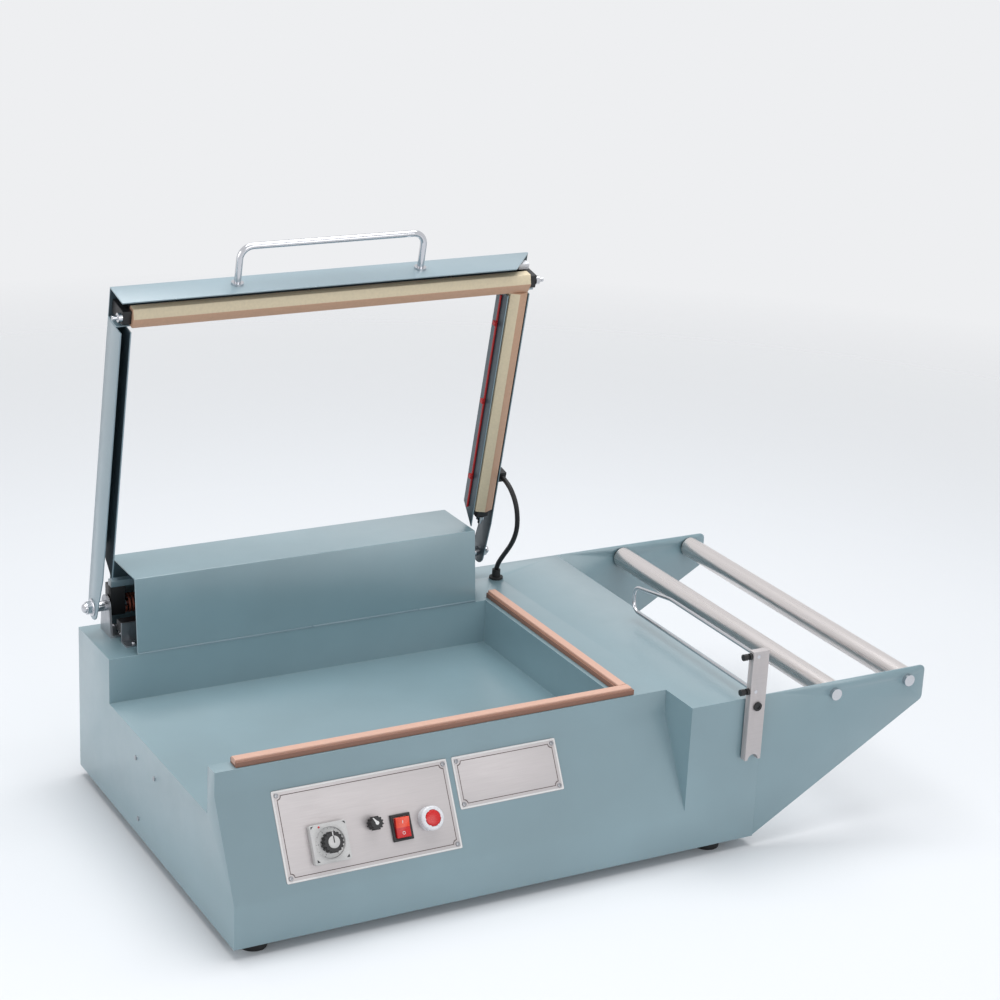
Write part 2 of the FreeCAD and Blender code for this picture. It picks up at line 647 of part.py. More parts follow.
def make_arms():
    start = "front_bar_back"
    length = "arm_channel_end - front_bar_back"
    left = new_body("lid_arm_left", on_lid)
    left_edges = ("lid_left", "lid_left + arm_width")
    add(left, "XZ", start, length,
        lambda s: polygon(s, channel(*left_edges, "skirt_low", "skirt_low", "lid_top")))
    cut(left, "YZ", "lid_left + sheet_wall", "arm_width - sheet_wall", lambda s: polygon(s, [
        ("arm_channel_end - arm_taper", "lid_top"), ("arm_channel_end", "skirt_low"),
        ("arm_channel_end", "lid_top")]))
    hinge_plate(left, "lid_left", "arm_channel_end", "skirt_low", "lid_top")
    right = new_body("lid_arm_right", on_lid)
    add(right, "XZ", start, length, lambda s: polygon(s, channel(
        "right_arm_left", "right_arm_right", "right_arm_low", "right_arm_low", "right_arm_high")))
    cut(right, "YZ", "right_arm_left", "right_arm_width - sheet_wall", lambda s: polygon(s, [
        ("arm_channel_end - arm_taper", "right_arm_high"), ("arm_channel_end", "right_arm_low"),
        ("arm_channel_end", "right_arm_high")]))
    hinge_plate(right, "right_arm_right - sheet_wall", "arm_channel_end", "right_arm_low",
                "right_arm_high")


def make_front_bar():
    bar = new_body("lid_front_bar", on_lid)
    add(bar, "YZ", "lid_left", "lid_right - lid_left", lambda s: polygon(s, channel(
        "skirt_y", "front_bar_back", "skirt_low", "rear_flange_low", "lid_top")))
    # the skirt's lower right corner is cut away round the wire terminal
    cut(bar, "XZ", "skirt_y", "sheet_wall", lambda s: polygon(s, [
        ("lid_right - corner_cut", "skirt_low"), ("lid_right", "skirt_low"),
        ("lid_right", "lid_top - sheet_wall")]))
    return bar


def jaw_outline(centre):
    """Section of a seal jaw: a block with a blunt ridge on its underside."""
    return [
        (f"{centre} - jaw_half_width", "jaw_low"), (f"{centre} - jaw_nose_flat / 2", "jaw_tip"),
        (f"{centre} + jaw_nose_flat / 2", "jaw_tip"), (f"{centre} + jaw_half_width", "jaw_low"),
        (f"{centre} + jaw_half_width", "jaw_top"), (f"{centre} - jaw_half_width", "jaw_top")]


def make_jaws():
    front = new_body("jaw_front", on_lid)
    add(front, "YZ", "jaw_left", "jaw_right_end - jaw_left",
        lambda s: polygon(s, jaw_outline("rail_middle")))
    side = new_body("jaw_right", on_lid)
    start = "rail_middle + jaw_half_width"
    add(side, "XZ", start, f"jaw_rear - ({start})",
        lambda s: polygon(s, jaw_outline("seal_right_centre")))
    hangers = []
    for step in range(3):
        hangers.append(stud("hanger_radius", "web_under - jaw_top", Z_AXIS,
                            f"hanger_first + {step} * hanger_step", "rail_middle", "jaw_top"))
    side_step = "(jaw_rear - rail_middle) / 3"
    for step in range(3):
        hangers.append(stud("hanger_radius", "right_web_under - jaw_top", Z_AXIS, "seal_right_centre",
                            f"rail_middle + {side_step} * ({step} + 0.5)", "jaw_top"))
    group("jaw_hangers", on_lid, hangers)


def make_handle():
    half = number("handle_length") / 2
    centre, height = number("handle_centre"), number("handle_height")
    foot, grip = number("skirt_y"), number("skirt_y - handle_standoff")
    foot -= number("handle_foot_height")
    points = [Vector(centre - half, foot, height), Vector(centre - half, grip, height),
              Vector(centre + half, grip, height), Vector(centre + half, foot, height)]
    bends = [number("handle_bend")] * 2
    bent_rod("handle", on_lid, round_bar(bent_path(points, bends), number("handle_radius")))
    feet = [stud("handle_foot_radius", "handle_foot_height", Y_AXIS,
                 f"handle_centre {side} handle_length / 2", "skirt_y - handle_foot_height",
                 "handle_height") for side in "-+"]
    group("handle_feet", on_lid, feet)


def make_terminals():
    """Insulated blocks that carry the ends of the seal wires, with their tension bolts."""
    blocks, bolts = [], []
    low_y = "rail_middle - terminal_width / 2"
    ends = [
        ("jaw_left - terminal_length", low_y, "web_under", "-"),
        ("jaw_right_end", low_y, "web_under", "+"),
    ]
    for x, y, top, side in ends:
        blocks.append((x, y, "terminal_length", "terminal_width", top))
        face = x if side == "-" else f"{x} + terminal_length"
        reach = f"{face} - tension_reach" if side == "-" else face
        nut = f"{face} - tension_nut_height" if side == "-" else face
        middle, height = "rail_middle", "(terminal_low + jaw_top) / 2"
        bolt = doc.addObject("Part::Fuse", "TensionBolt")
        bolt.Base = stud("tension_radius", "tension_reach", X_AXIS, reach, middle, height)
        bolt.Tool = stud("tension_nut_radius", "tension_nut_height", X_AXIS, nut, middle, height)
        bolts.append(bolt)
    blocks.append(("seal_right_centre - terminal_width / 2", "jaw_rear", "terminal_width",
                   "terminal_length", "right_web_under"))
    pieces = []
    for x, y, length, width, top in blocks:
        block = doc.addObject("Part::Box", "Terminal")
        block.setExpression("Length", cell(length))
        block.setExpression("Width", cell(width))
        block.setExpression("Height", cell(f"{top} - terminal_low"))
        set_base(block, x, y, "terminal_low")
        pieces.append(block)
    group("wire_terminals", on_lid, pieces)
    rear = doc.addObject("Part::Fuse", "TensionBolt")
    face, height = "jaw_rear + terminal_length", "(terminal_low + jaw_top) / 2"
    rear.Base = stud("tension_radius", "tension_reach", Y_AXIS, "seal_right_centre", face, height)
    rear.Tool = stud("tension_nut_radius", "tension_nut_height", Y_AXIS, "seal_right_centre", face, height)
    bolts.append(rear)
    group("tension_bolts", on_lid, bolts)


def make_leads():
    """Heater leads: one behind the skirt, one tied along the right arm's inner face."""
    front_y = "skirt_inner + lead_radius"
    side_x = "right_arm_left - lead_radius"
    height = "jaw_top + lead_radius"
    side_height = "(right_arm_low + right_arm_high) / 2"
    ties = [f"front_bar_back + tie_first + {step} * tie_step" for step in range(3)]
    leads = [
        stud("lead_radius", "jaw_right_end - corner_cut - jaw_left", X_AXIS, "jaw_left", front_y, height),
        stud("lead_radius", "jaw_rear - front_bar_back - tie_length", Y_AXIS, side_x,
             "front_bar_back + tie_length", side_height),
    ]
    group("heater_leads", on_lid, leads)
    pieces = []
    for tie in ties:
        block = doc.addObject("Part::Box", "Tie")
        block.setExpression("Length", cell("tie_radius"))
        block.setExpression("Width", cell("tie_length"))
        block.setExpression("Height", cell("2 * tie_radius"))
        set_base(block, "right_arm_left - 2 * lead_radius - tie_radius", tie,
                 f"{side_height} - tie_radius")
        pieces.append(block)
    group("lead_ties", on_lid, pieces)


# ================================================================== hinge

def make_hinge():
    shaft = stud("shaft_radius", "shaft_right - shaft_left", X_AXIS, "shaft_left", "hinge_y", "hinge_z")
    keep(shaft, "hinge_shaft", on_hinge)
    nuts = []
    for face, out in (("lid_left", "-"), ("right_arm_right", "+")):
        def outward(start, length):
            return f"{face} {out} ({start})" if out == "+" else f"{face} - ({start}) - ({length})"
        discs = [
            stud("hinge_washer_radius", "hinge_washer_height", X_AXIS,
                 outward("0", "hinge_washer_height"), "hinge_y", "hinge_z"),
            stud("hinge_nut_radius", "hinge_nut_height", X_AXIS,
                 outward("hinge_washer_height", "hinge_nut_height"), "hinge_y", "hinge_z"),
            stud("hinge_dome_radius", "hinge_dome_radius", X_AXIS,
                 outward("hinge_washer_height + hinge_nut_height", "hinge_dome_radius"),
                 "hinge_y", "hinge_z"),
        ]
        nut = doc.addObject("Part::MultiFuse", "HingeNut")
        nut.Shapes = discs
        nuts.append(nut)
    group("hinge_nuts", on_base, nuts)
    for label, x, side in (("hinge_bracket_left", "bracket_left_x", 1),
                           ("hinge_bracket_right", "bracket_right_x", -1)):
        bracket = new_body(label, on_base)
        half = "bracket_foot / 2"
        waist = "body_height + bracket_wall"
        outline = [(f"hinge_y - {half}", "body_height"), (f"hinge_y + {half}", "body_height"),
                   (f"hinge_y + {half}", waist), ("hinge_y + bracket_top_radius", "hinge_z"),
                   ("hinge_y - bracket_top_radius", "hinge_z"), (f"hinge_y - {half}", waist)]
        add(bracket, "YZ", x, "bracket_wall", lambda s: polygon(s, outline))
        add(bracket, "YZ", x, "bracket_wall",
            lambda s: circle(s, "hinge_y", "hinge_z", "bracket_top_radius"))
        flange_x = f"{x} + bracket_wall" if side == 1 else f"{x} - bracket_flange"
        add(bracket, "XY", "body_height", "bracket_wall", lambda s: polygon(s, box_points(
            flange_x, f"hinge_y - {half}", f"{flange_x} + bracket_flange", f"hinge_y + {half}")))
        cut(bracket, "YZ", x, "bracket_wall",
            lambda s: circle(s, "hinge_y", "hinge_z", "shaft_radius + running_gap"))


def on_hinge(piece):
    """Set down a piece that was already placed along the hinge."""
    set_base(piece, "-total_length / 2 + shaft_left", "-total_depth / 2 + hinge_y", "foot_height + hinge_z")


def make_lever():
    """Clamp block and cross bar on the hinge shaft, drawn with the lid open."""
    block = new_body("lever_block", on_base)
    half = "lever_block_width / 2"
    add(block, "YZ", "lever_left", "lever_block_length", lambda s: polygon(s, box_points(
        f"hinge_y - {half}", "hinge_z - lever_block_low", f"hinge_y + {half}",
        "hinge_z + lever_block_high")))
    cut(block, "YZ", "lever_left", "lever_block_length",
        lambda s: circle(s, "hinge_y", "hinge_z", "shaft_radius"))
    top = "hinge_z + lever_block_high"
    plain_box("lever_bar", on_base, ("lever_left", "lever_left + lever_bar_length"),
              ("hinge_y - lever_bar_width", "hinge_y"), (top, f"{top} + lever_bar_height"))


def eight_sided(centre, radius):
    """The spring wire's section: an octagon about centre, square to Y."""
    corners = [centre + Vector(math.cos(step * math.pi / 4), 0, math.sin(step * math.pi / 4)) * radius
               for step in range(8)]
    return Part.makePolygon(corners + corners[:1])


def make_spring():
    """Torsion spring round the hinge shaft: its end turn bears on the clamp block, its leg on the deck."""
    radius, wire = number("spring_radius"), number("spring_wire_radius")
    length = number("spring_turns * spring_pitch")
    helix = Part.makeHelix(number("spring_pitch"), length, radius)
    section = eight_sided(Vector(radius, 0, 0), wire)
    coil = Part.Wire(helix.Edges).makePipeShell([section], True, True)
    drop = number("hinge_z - body_height")
    leg = Part.Face(section).extrude(Vector(0, -drop, 0))
    spring = doc.addObject("Part::Feature", "ReturnSpring")
    spring.Shape = coil.fuse(leg)
    keep(spring, "return_spring", lambda piece: None)
    spring.Placement = Placement(Vector(), Rotation(Vector(0, -1, 0), Vector(0, 0, 1), Vector(-1, 0, 0), "XYZ"))
    set_base(spring, "-total_length / 2 + lever_left + lever_block_length + spring_gap"
             " + spring_wire_radius + spring_turns * spring_pitch",
             "-total_depth / 2 + hinge_y", "foot_height + hinge_z")


def make_switch():
    """Lid microswitch on its angle bracket."""
    left, right = "switch_left", "switch_left + switch_length"
    front, back = "switch_front", "switch_front + switch_depth"
    plain_box("lid_switch", on_base, (left, right), (front, back),
              ("switch_base", "switch_base + switch_height"))
    bracket = new_body("switch_bracket", on_base)
    add(bracket, "YZ", left, "switch_length", lambda s: polygon(s, [
        (f"{front} - switch_foot", "body_height"), (front, "body_height"), (front, "switch_base + switch_height"),
        (f"{front} - plate_wall", "switch_base + switch_height"),
        (f"{front} - plate_wall", "body_height + plate_wall"),
        (f"{front} - switch_foot", "body_height + plate_wall")]))


# =============================================================== controls

def rounded_plate(label, left, low, width, height):
    plate = new_body(label, on_panel)
    add(plate, "XY", "0", "plate_thickness",
        lambda s: polygon(s, box_points(left, low, f"{left} + {width}", f"{low} + {height}")))
    soften(plate, "Fillet", "plate_corner", along(Z_AXIS))
    return plate


def make_plates():
    rounded_plate("control_plate", "plate_left", "plate_low", "plate_width", "plate_height")
    rounded_plate("label_plate", "label_left", "label_low", "label_width", "label_height")
    rivets = []
    for left, low, width, height in (("plate_left", "plate_low", "plate_width", "plate_height"),
                                     ("label_left", "label_low", "label_width", "label_height")):
        for x in (f"{left} + rivet_inset", f"{left} + {width} - rivet_inset"):
            for y in (f"{low} + rivet_inset", f"{low} + {height} - rivet_inset"):
                rivets.append(stud("rivet_radius", "rivet_height", Z_AXIS, x, y, "plate_thickness"))
    group("plate_rivets", on_panel, rivets)


def make_timer():
    body = new_body("timer_body", on_panel)
    half = "timer_width / 2"
    add(body, "XY", "plate_thickness", "timer_height", lambda s: polygon(s, box_points(
        f"timer_centre_x - {half}", f"timer_centre_v - {half}",
        f"timer_centre_x + {half}", f"timer_centre_v + {half}")))
    soften(body, "Fillet", "timer_corner", along(Z_AXIS))
    cut(body, "XY", "plate_thickness + timer_height - timer_rim", "timer_rim",
        lambda s: circle(s, "timer_centre_x", "timer_centre_v", "timer_dial_radius"))
    face = "plate_thickness + timer_height - timer_rim"
    fluted_knob("timer_knob", "timer_centre_x", "timer_centre_v", face, "timer_knob_radius",
                "timer_knob_height", 16)
    fluted_knob("small_knob", "small_knob_x", "small_knob_v", "plate_thickness", "small_knob_radius",
                "small_knob_height", 12)


def fluted_knob(label, x, y, face, radius, height, flutes):
    """A knob on its stem, with grip flutes round it and a turned-in top."""
    knob = new_body(label, on_panel)
    add(knob, "XY", f"{face} + running_gap", "knob_stem_height",
        lambda s: circle(s, x, y, "knob_stem_radius"))
    add(knob, "XY", f"{face} + knob_stem_height", height, lambda s: circle(s, x, y, radius))
    first = cut(knob, "XY", f"{face} + knob_stem_height", height,
                lambda s: circle(s, f"{x} + {radius}", y, "knob_flute_radius"))
    centre = new_sketch(knob, "XY", face)
    circle(centre, x, y, radius)
    axis = knob.newObject("PartDesign::Line", "KnobAxis")
    axis.AttachmentSupport = [(centre, "")]
    axis.MapMode = "ObjectZ"
    axis.setExpression("AttachmentOffset.Base.x", cell(x))
    axis.setExpression("AttachmentOffset.Base.y", cell(y))
    pattern = knob.newObject("PartDesign::PolarPattern", "Flutes")
    pattern.Originals = [first]
    pattern.Axis = (axis, [""])
    pattern.Angle = 360
    pattern.Occurrences = flutes
    knob.Tip = pattern
    return knob


def make_rocker():
    bezel = new_body("rocker_bezel", on_panel)
    half_x, half_y = "bezel_width / 2", "bezel_length / 2"
    add(bezel, "XY", "plate_thickness", "bezel_height", lambda s: polygon(s, box_points(
        f"rocker_x - {half_x}", f"rocker_v - {half_y}", f"rocker_x + {half_x}", f"rocker_v + {half_y}")))
    cut(bezel, "XY", "plate_thickness", "bezel_height", lambda s: polygon(s, box_points(
        f"rocker_x - {half_x} + bezel_wall", f"rocker_v - {half_y} + bezel_wall",
        f"rocker_x + {half_x} - bezel_wall", f"rocker_v + {half_y} - bezel_wall")))
    # rocker, symmetrical about its pivot and drawn tipped to its rest position
    rocker = new_body("rocker", on_panel)
    half = "(bezel_length / 2 - bezel_wall - rocker_gap)"
    pivot_z = "plate_thickness + bezel_height"
    lean = "(rocker_tilt_deg * 1 deg)"

    def tipped(across, up):
        return (f"rocker_v + {across} * cos({lean}) - {up} * sin({lean})",
                f"{pivot_z} + {across} * sin({lean}) + {up} * cos({lean})")
    outline = [tipped(across, up) for across, up in (
        (f"-{half}", "-bezel_height / 3"), ("0", "(rocker_gap - bezel_height)"),
        (half, "-bezel_height / 3"), (half, "rocker_rise"), ("0", "(rocker_rise - rocker_dip)"),
        (f"-{half}", "rocker_rise"))]
    add(rocker, "YZ", f"rocker_x - {half_x} + bezel_wall + rocker_gap",
        "bezel_width - 2 * bezel_wall - 2 * rocker_gap", lambda s: polygon(s, outline))


def make_lamp():
    ring = new_body("lamp_ring", on_panel)
    add(ring, "XY", "plate_thickness", "ring_height", lambda s: circle(s, "lamp_x", "lamp_v", "ring_radius"))
    top = number("plate_thickness + ring_height")
    rim = number("ring_radius")

    def outer_rim(edge):
        return abs(edge.CenterOfMass.z - top) < 0.01 and edge.BoundBox.XLength > 2 * rim - 0.1
    soften(ring, "Chamfer", "ring_radius - ring_top_radius", outer_rim)
    cut(ring, "XY", "plate_thickness", "ring_height", lambda s: circle(s, "lamp_x", "lamp_v", "ring_bore"))
    lens = new_body("lamp_lens", on_panel)
    add(lens, "XY", "plate_thickness", "ring_height + lens_rise",
        lambda s: circle(s, "lamp_x", "lamp_v", "ring_bore"))
    top += number("lens_rise")
    soften(lens, "Chamfer", "lens_rise / 2", lambda edge: abs(edge.CenterOfMass.z - top) < 0.01)


# ================================================================== cable

# The lead's route from the clamp on the right arm to the table, with the lid open.  Each point is
# counted from the top of the grommet.
CABLE_ROUTE = [
    (-13.5, -61, 137), (-10.5, -67.5, 120.5), (-8, -68, 102), (-5.5, -63.5, 84), (-3.5, -53.5, 66),
    (-1.8, -40, 49.5), (-0.7, -26, 35), (-0.2, -13, 21), (0.1, -3, 9),
]


def lid_point(x, y, z):
    """Where a point of the closed lid lies when the lid is open, in machine coordinates."""
    angle = math.radians(number("lid_open_deg"))
    back, above = y - number("hinge_y"), z - number("hinge_z")
    return Vector(x, number("hinge_y") + back * math.cos(angle) + above * math.sin(angle),
                  number("hinge_z") - back * math.sin(angle) + above * math.cos(angle))


def make_cable():
    radius = number("cable_radius")
    clamp_x = number("right_arm_right + cable_clamp_reach / 2")
    clamp_y, clamp_low = number("cable_clamp_y"), number("cable_clamp_low - running_gap")
    foot = Vector(number("grommet_x"), number("grommet_y"), number("grommet_top"))
    points = [lid_point(clamp_x, clamp_y, clamp_low),
              lid_point(clamp_x, clamp_y, clamp_low - number("cable_lead"))]
    points += [foot + Vector(*offset) for offset in CABLE_ROUTE] + [foot]
    runs = [(b - a).Length for a, b in zip(points, points[1:])]
    bends = []
    for index in range(1, len(points) - 1):
        come = points[index] - points[index - 1]
        leave = points[index + 1] - points[index]
        half_turn = come.getAngle(leave) / 2
        bends.append(0.45 * min(runs[index - 1], runs[index]) / math.tan(half_turn))
    print("lid cable points:", [tuple(round(v, 1) for v in point) for point in points])
    print("lid cable runs:", [round(run, 1) for run in runs])
    print("lid cable bend radii:", [round(bend, 1) for bend in bends])
    path = bent_path(points, bends)
    shape = round_bar(path, radius)
    expected = math.pi * radius ** 2 * path.Length
    print(f"lid cable length {path.Length:.1f}, volume {shape.Volume:.0f} against {expected:.0f}")
    bent_rod("lid_cable", on_base, shape)
    plain_box("cable_clamp", on_lid, ("right_arm_right", "right_arm_right + cable_clamp_reach"),
              ("cable_clamp_y - cable_clamp_depth / 2", "cable_clamp_y + cable_clamp_depth / 2"),
              ("cable_clamp_low", "cable_clamp_low + cable_clamp_height"))
    grommet = new_body("cable_grommet", on_base)
    add(grommet, "XY", "body_height - sheet_wall", "sheet_wall",
        lambda s: circle(s, "grommet_x", "grommet_y", "grommet_neck_radius"))
    add(grommet, "XY", "body_height", "grommet_flange",
        lambda s: circle(s, "grommet_x", "grommet_y", "grommet_radius"))
    add(grommet, "XY", "body_height + grommet_flange", "grommet_height - grommet_flange",
        lambda s: circle(s, "grommet_x", "grommet_y", "grommet_cone_radius"))


# =================================================================== build

make_base_shell()
make_bottom_plate()
make_feet()
make_housing()
make_carrier_plates()
make_side_rivets()
make_gland()
make_lower_seals()
make_rollers()
make_film_guide()
make_arms()
make_front_bar()
make_jaws()
make_handle()
make_terminals()
make_leads()
make_hinge()
make_lever()
make_spring()
make_switch()
make_plates()
make_timer()
make_rocker()
make_lamp()
make_cable()
doc.recompute()

for item in doc.Objects:
    if "Invalid" in item.State or "Error" in item.State:
        raise RuntimeError(f"{item.Name} ({item.Label}) failed: {item.State}")
os.makedirs("parts", exist_ok=True)
for piece in subparts:
    shape = piece.Shape
    if shape.isNull() or not shape.isValid():
        raise RuntimeError(f"{piece.Label} has no valid shape")
    shape.exportStep(f"parts/{piece.Label}.step")
print(len(subparts), "sub-parts written")
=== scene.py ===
import json
import math

import bmesh
import bpy
from mathutils import Matrix, Vector


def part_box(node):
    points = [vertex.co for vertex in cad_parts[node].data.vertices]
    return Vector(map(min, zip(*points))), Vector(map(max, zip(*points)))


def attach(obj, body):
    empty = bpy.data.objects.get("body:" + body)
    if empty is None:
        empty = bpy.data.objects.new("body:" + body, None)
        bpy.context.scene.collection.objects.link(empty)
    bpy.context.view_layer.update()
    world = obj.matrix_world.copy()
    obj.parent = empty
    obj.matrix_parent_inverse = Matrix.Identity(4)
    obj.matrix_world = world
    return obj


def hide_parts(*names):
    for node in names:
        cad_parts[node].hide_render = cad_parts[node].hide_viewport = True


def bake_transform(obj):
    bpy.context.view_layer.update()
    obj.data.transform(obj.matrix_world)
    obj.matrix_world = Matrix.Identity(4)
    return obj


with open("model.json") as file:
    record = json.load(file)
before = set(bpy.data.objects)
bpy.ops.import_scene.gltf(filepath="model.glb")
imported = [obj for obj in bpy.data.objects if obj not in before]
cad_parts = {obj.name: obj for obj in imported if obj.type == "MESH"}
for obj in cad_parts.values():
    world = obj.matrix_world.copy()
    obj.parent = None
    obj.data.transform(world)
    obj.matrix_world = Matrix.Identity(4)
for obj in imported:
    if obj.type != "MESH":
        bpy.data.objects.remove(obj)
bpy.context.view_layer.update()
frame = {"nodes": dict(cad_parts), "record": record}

# Dressing for a table-top L bar sealer: powder-coated sheet metal, seal jaws, controls, film carrier.
# Lengths are in metres in the part's own frame: +X towards the film carrier, -Y to the operator, +Z up.

NODES = frame["nodes"]
BODY_OF = {node: body for body, nodes in frame["record"]["behaviour"]["bodies"].items() for node in nodes}
SLOT_OF = {part["node"]: part["material_slot"] for part in frame["record"]["subparts"]}
JOINTS = {joint["name"]: joint for joint in frame["record"]["behaviour"]["joints"]}


# ------------------------------------------------------------------ shader maths

class Wire:
    """A socket's value in an expression."""

    def __init__(self, material, socket):
        self.material, self.socket = material, socket

    def _math(self, operation, first, second=None):
        return self.material.node("ShaderNodeMath", {"operation": operation}, {0: first, 1: second})

    def __add__(self, other): return self._math("ADD", self, other)
    def __radd__(self, other): return self._math("ADD", other, self)
    def __sub__(self, other): return self._math("SUBTRACT", self, other)
    def __rsub__(self, other): return self._math("SUBTRACT", other, self)
    def __mul__(self, other): return self._math("MULTIPLY", self, other)
    def __rmul__(self, other): return self._math("MULTIPLY", other, self)
    def __truediv__(self, other): return self._math("DIVIDE", self, other)
    def __gt__(self, other): return self._math("GREATER_THAN", self, other)
    def __lt__(self, other): return self._math("LESS_THAN", self, other)


class Finish:
    """A procedural material; its socket values are set on the Principled shader."""

    def __init__(self, name, **shader):
        self.material = bpy.data.materials.new(name)
        self.material.use_nodes = True
        self.tree = self.material.node_tree
        self.shader = self.tree.nodes["Principled BSDF"]
        for socket, value in shader.items():
            self.set(socket.replace("_", " ").title().replace("Ior", "IOR"), value)
        self.place = self.node("ShaderNodeTexCoord", {}, {}, output="Object")

    def node(self, kind, settings, inputs, output=0):
        made = self.tree.nodes.new(kind)
        for name, value in settings.items():
            if name == "ramp":
                stops = made.color_ramp.elements
                while len(stops) < len(value):
                    stops.new(0.5)
                for stop, (position, colour) in zip(stops, value):
                    stop.position, stop.color = position, (*colour, 1)
            else:
                setattr(made, name, value)
        for name, value in inputs.items():
            if value is not None:
                self._feed(made.inputs[name], value)
        return Wire(self, made.outputs[output])

    def _feed(self, socket, value):
        if isinstance(value, Wire):
            self.tree.links.new(value.socket, socket)
        elif socket.type == "RGBA" and len(value) == 3:
            socket.default_value = (*value, 1)
        else:
            socket.default_value = value

    def set(self, socket, value):
        self._feed(self.shader.inputs[socket], value)

    def noise(self, scale, detail=2.0, roughness=0.5, stretch=None):
        where = self.place
        if stretch:
            where = self.node("ShaderNodeMapping", {}, {"Vector": where, "Scale": stretch})
        return self.node("ShaderNodeTexNoise", {}, {
            "Vector": where, "Scale": scale, "Detail": detail, "Roughness": roughness})

    def mix(self, factor, first, second):
        return self.node("ShaderNodeMix", {"data_type": "RGBA"},
                         {"Factor": factor, 6: first, 7: second}, output=2)

    def range(self, value, low, high, to_low, to_high):
        return self.node("ShaderNodeMapRange", {"clamp": True}, {
            "Value": value, "From Min": low, "From Max": high, "To Min": to_low, "To Max": to_high})

    def split(self, vector=None):
        vector = vector or self.place
        return [self.node("ShaderNodeSeparateXYZ", {}, {"Vector": vector}, output=axis) for axis in range(3)]

    def bump(self, height, distance, strength=1.0):
        self.set("Normal", self.node("ShaderNodeBump", {}, {
            "Height": height, "Distance": distance, "Strength": strength}))


def rgb(red, green, blue):
    """A display colour, 0 to 255, as scene-linear values."""
    return tuple((v / 255 / 12.92) if v < 11 else ((v / 255 + 0.055) / 1.055) ** 2.4
                 for v in (red, green, blue))


def coat(name, colour, variation=0.05, roughness=0.42, gloss=1.0):
    """Powder coat: an even colour with faint clouding, a fine orange-peel surface and a glossy top."""
    finish = Finish(name, ior=1.5, coat_weight=gloss, coat_roughness=0.28, coat_ior=1.7)
    cloud = finish.noise(7.0, 3.0)
    darker = tuple(v * (1 - variation) for v in colour)
    lighter = tuple(v * (1 + variation) for v in colour)
    finish.set("Base Color", finish.mix(finish.range(cloud, 0.35, 0.65, 0.0, 1.0), darker, lighter))
    scuff = finish.noise(35.0, 4.0, 0.6)
    finish.set("Roughness", finish.range(scuff, 0.3, 0.7, roughness - 0.05, roughness + 0.06))
    finish.bump(finish.noise(900.0, 2.0), 0.00008, 0.5)
    return finish.material


def brushed(name, colour, roughness, grain, metallic=1.0, contrast=0.08):
    """Metal with a fine grain along one axis; grain holds the noise scale on each axis."""
    finish = Finish(name, metallic=metallic)
    lines = finish.noise(1.0, 3.0, 0.6, stretch=grain)
    darker = tuple(v * (1 - contrast) for v in colour)
    finish.set("Base Color", finish.mix(finish.range(lines, 0.3, 0.7, 0.0, 1.0), darker, colour))
    finish.set("Roughness", finish.range(lines, 0.3, 0.7, roughness + 0.08, roughness - 0.04))
    finish.bump(lines, 0.00003, 0.4)
    return finish.material


def plated(name, colour=rgb(205, 206, 210), roughness=0.12):
    finish = Finish(name, metallic=1.0)
    smear = finish.noise(60.0, 3.0)
    finish.set("Base Color", finish.mix(smear, tuple(v * 0.93 for v in colour), colour))
    finish.set("Roughness", finish.range(smear, 0.3, 0.7, roughness, roughness + 0.07))
    return finish.material


def moulded(name, colour, roughness=0.45, grain=700.0):
    finish = Finish(name, ior=1.48)
    fine = finish.noise(grain, 2.0)
    finish.set("Base Color", finish.mix(fine, tuple(v * 0.9 for v in colour), tuple(v * 1.1 for v in colour)))
    finish.set("Roughness", finish.range(fine, 0.3, 0.7, roughness - 0.05, roughness + 0.08))
    finish.bump(fine, 0.00006, 0.4)
    return finish.material


BODY_COAT = coat("blue_grey_powder_coat", rgb(116, 144, 153))
# painted shade: a dark, unglossy copy of the lid paint for channel faces that fall in shadow
PAINTED_SHADE_COAT = coat("lid_coat_painted_shade", rgb(58, 74, 82), gloss=0.1)
MATERIALS = {
    "body_paint": BODY_COAT,
    "lid_paint": coat("lid_powder_coat", rgb(120, 143, 153)),
    "plate_alu": brushed("satin_aluminium", rgb(190, 184, 184), 0.42, (30, 900, 900), metallic=0.3,
                         contrast=0.05),
    "zinc_steel": brushed("zinc_plate", rgb(176, 178, 182), 0.34, (200, 200, 60)),
    "spring_steel": brushed("oiled_spring_steel", rgb(128, 66, 50), 0.42, (400, 400, 400), metallic=0.6),
    "chrome": plated("bright_plate"),
    "roller_shell": brushed("drawn_roller_tube", rgb(222, 216, 214), 0.28, (700, 12, 700), contrast=0.1),
    "black_plastic": moulded("black_moulding", rgb(24, 24, 26)),
    "black_steel": moulded("black_oxide_steel", rgb(20, 20, 22), roughness=0.38),
    "rubber": moulded("black_rubber", rgb(26, 26, 27), roughness=0.68),
    "cable": moulded("cable_sheath", rgb(16, 16, 18), roughness=0.5),
    "jaw_facing": moulded("beige_jaw_facing", rgb(212, 197, 168), roughness=0.5, grain=300.0),
    "seal_bar": moulded("brown_seal_bar", rgb(134, 96, 80), roughness=0.5),
    "seal_pad": moulded("copper_seal_pad", rgb(206, 166, 148), roughness=0.55, grain=400.0),
    "white_plastic": moulded("white_collar", rgb(216, 217, 221), roughness=0.25),
    "red_plastic": moulded("red_lens", rgb(198, 30, 32), roughness=0.22),
    "red_lead": moulded("red_insulation", rgb(170, 28, 30), roughness=0.4),
}
# painted shade: a darker, browner copy of the beige jaw facing for facets turned away from the light
SHADED_JAW_FACING = moulded("jaw_facing_painted_shade", rgb(190, 152, 126), roughness=0.5, grain=300.0)
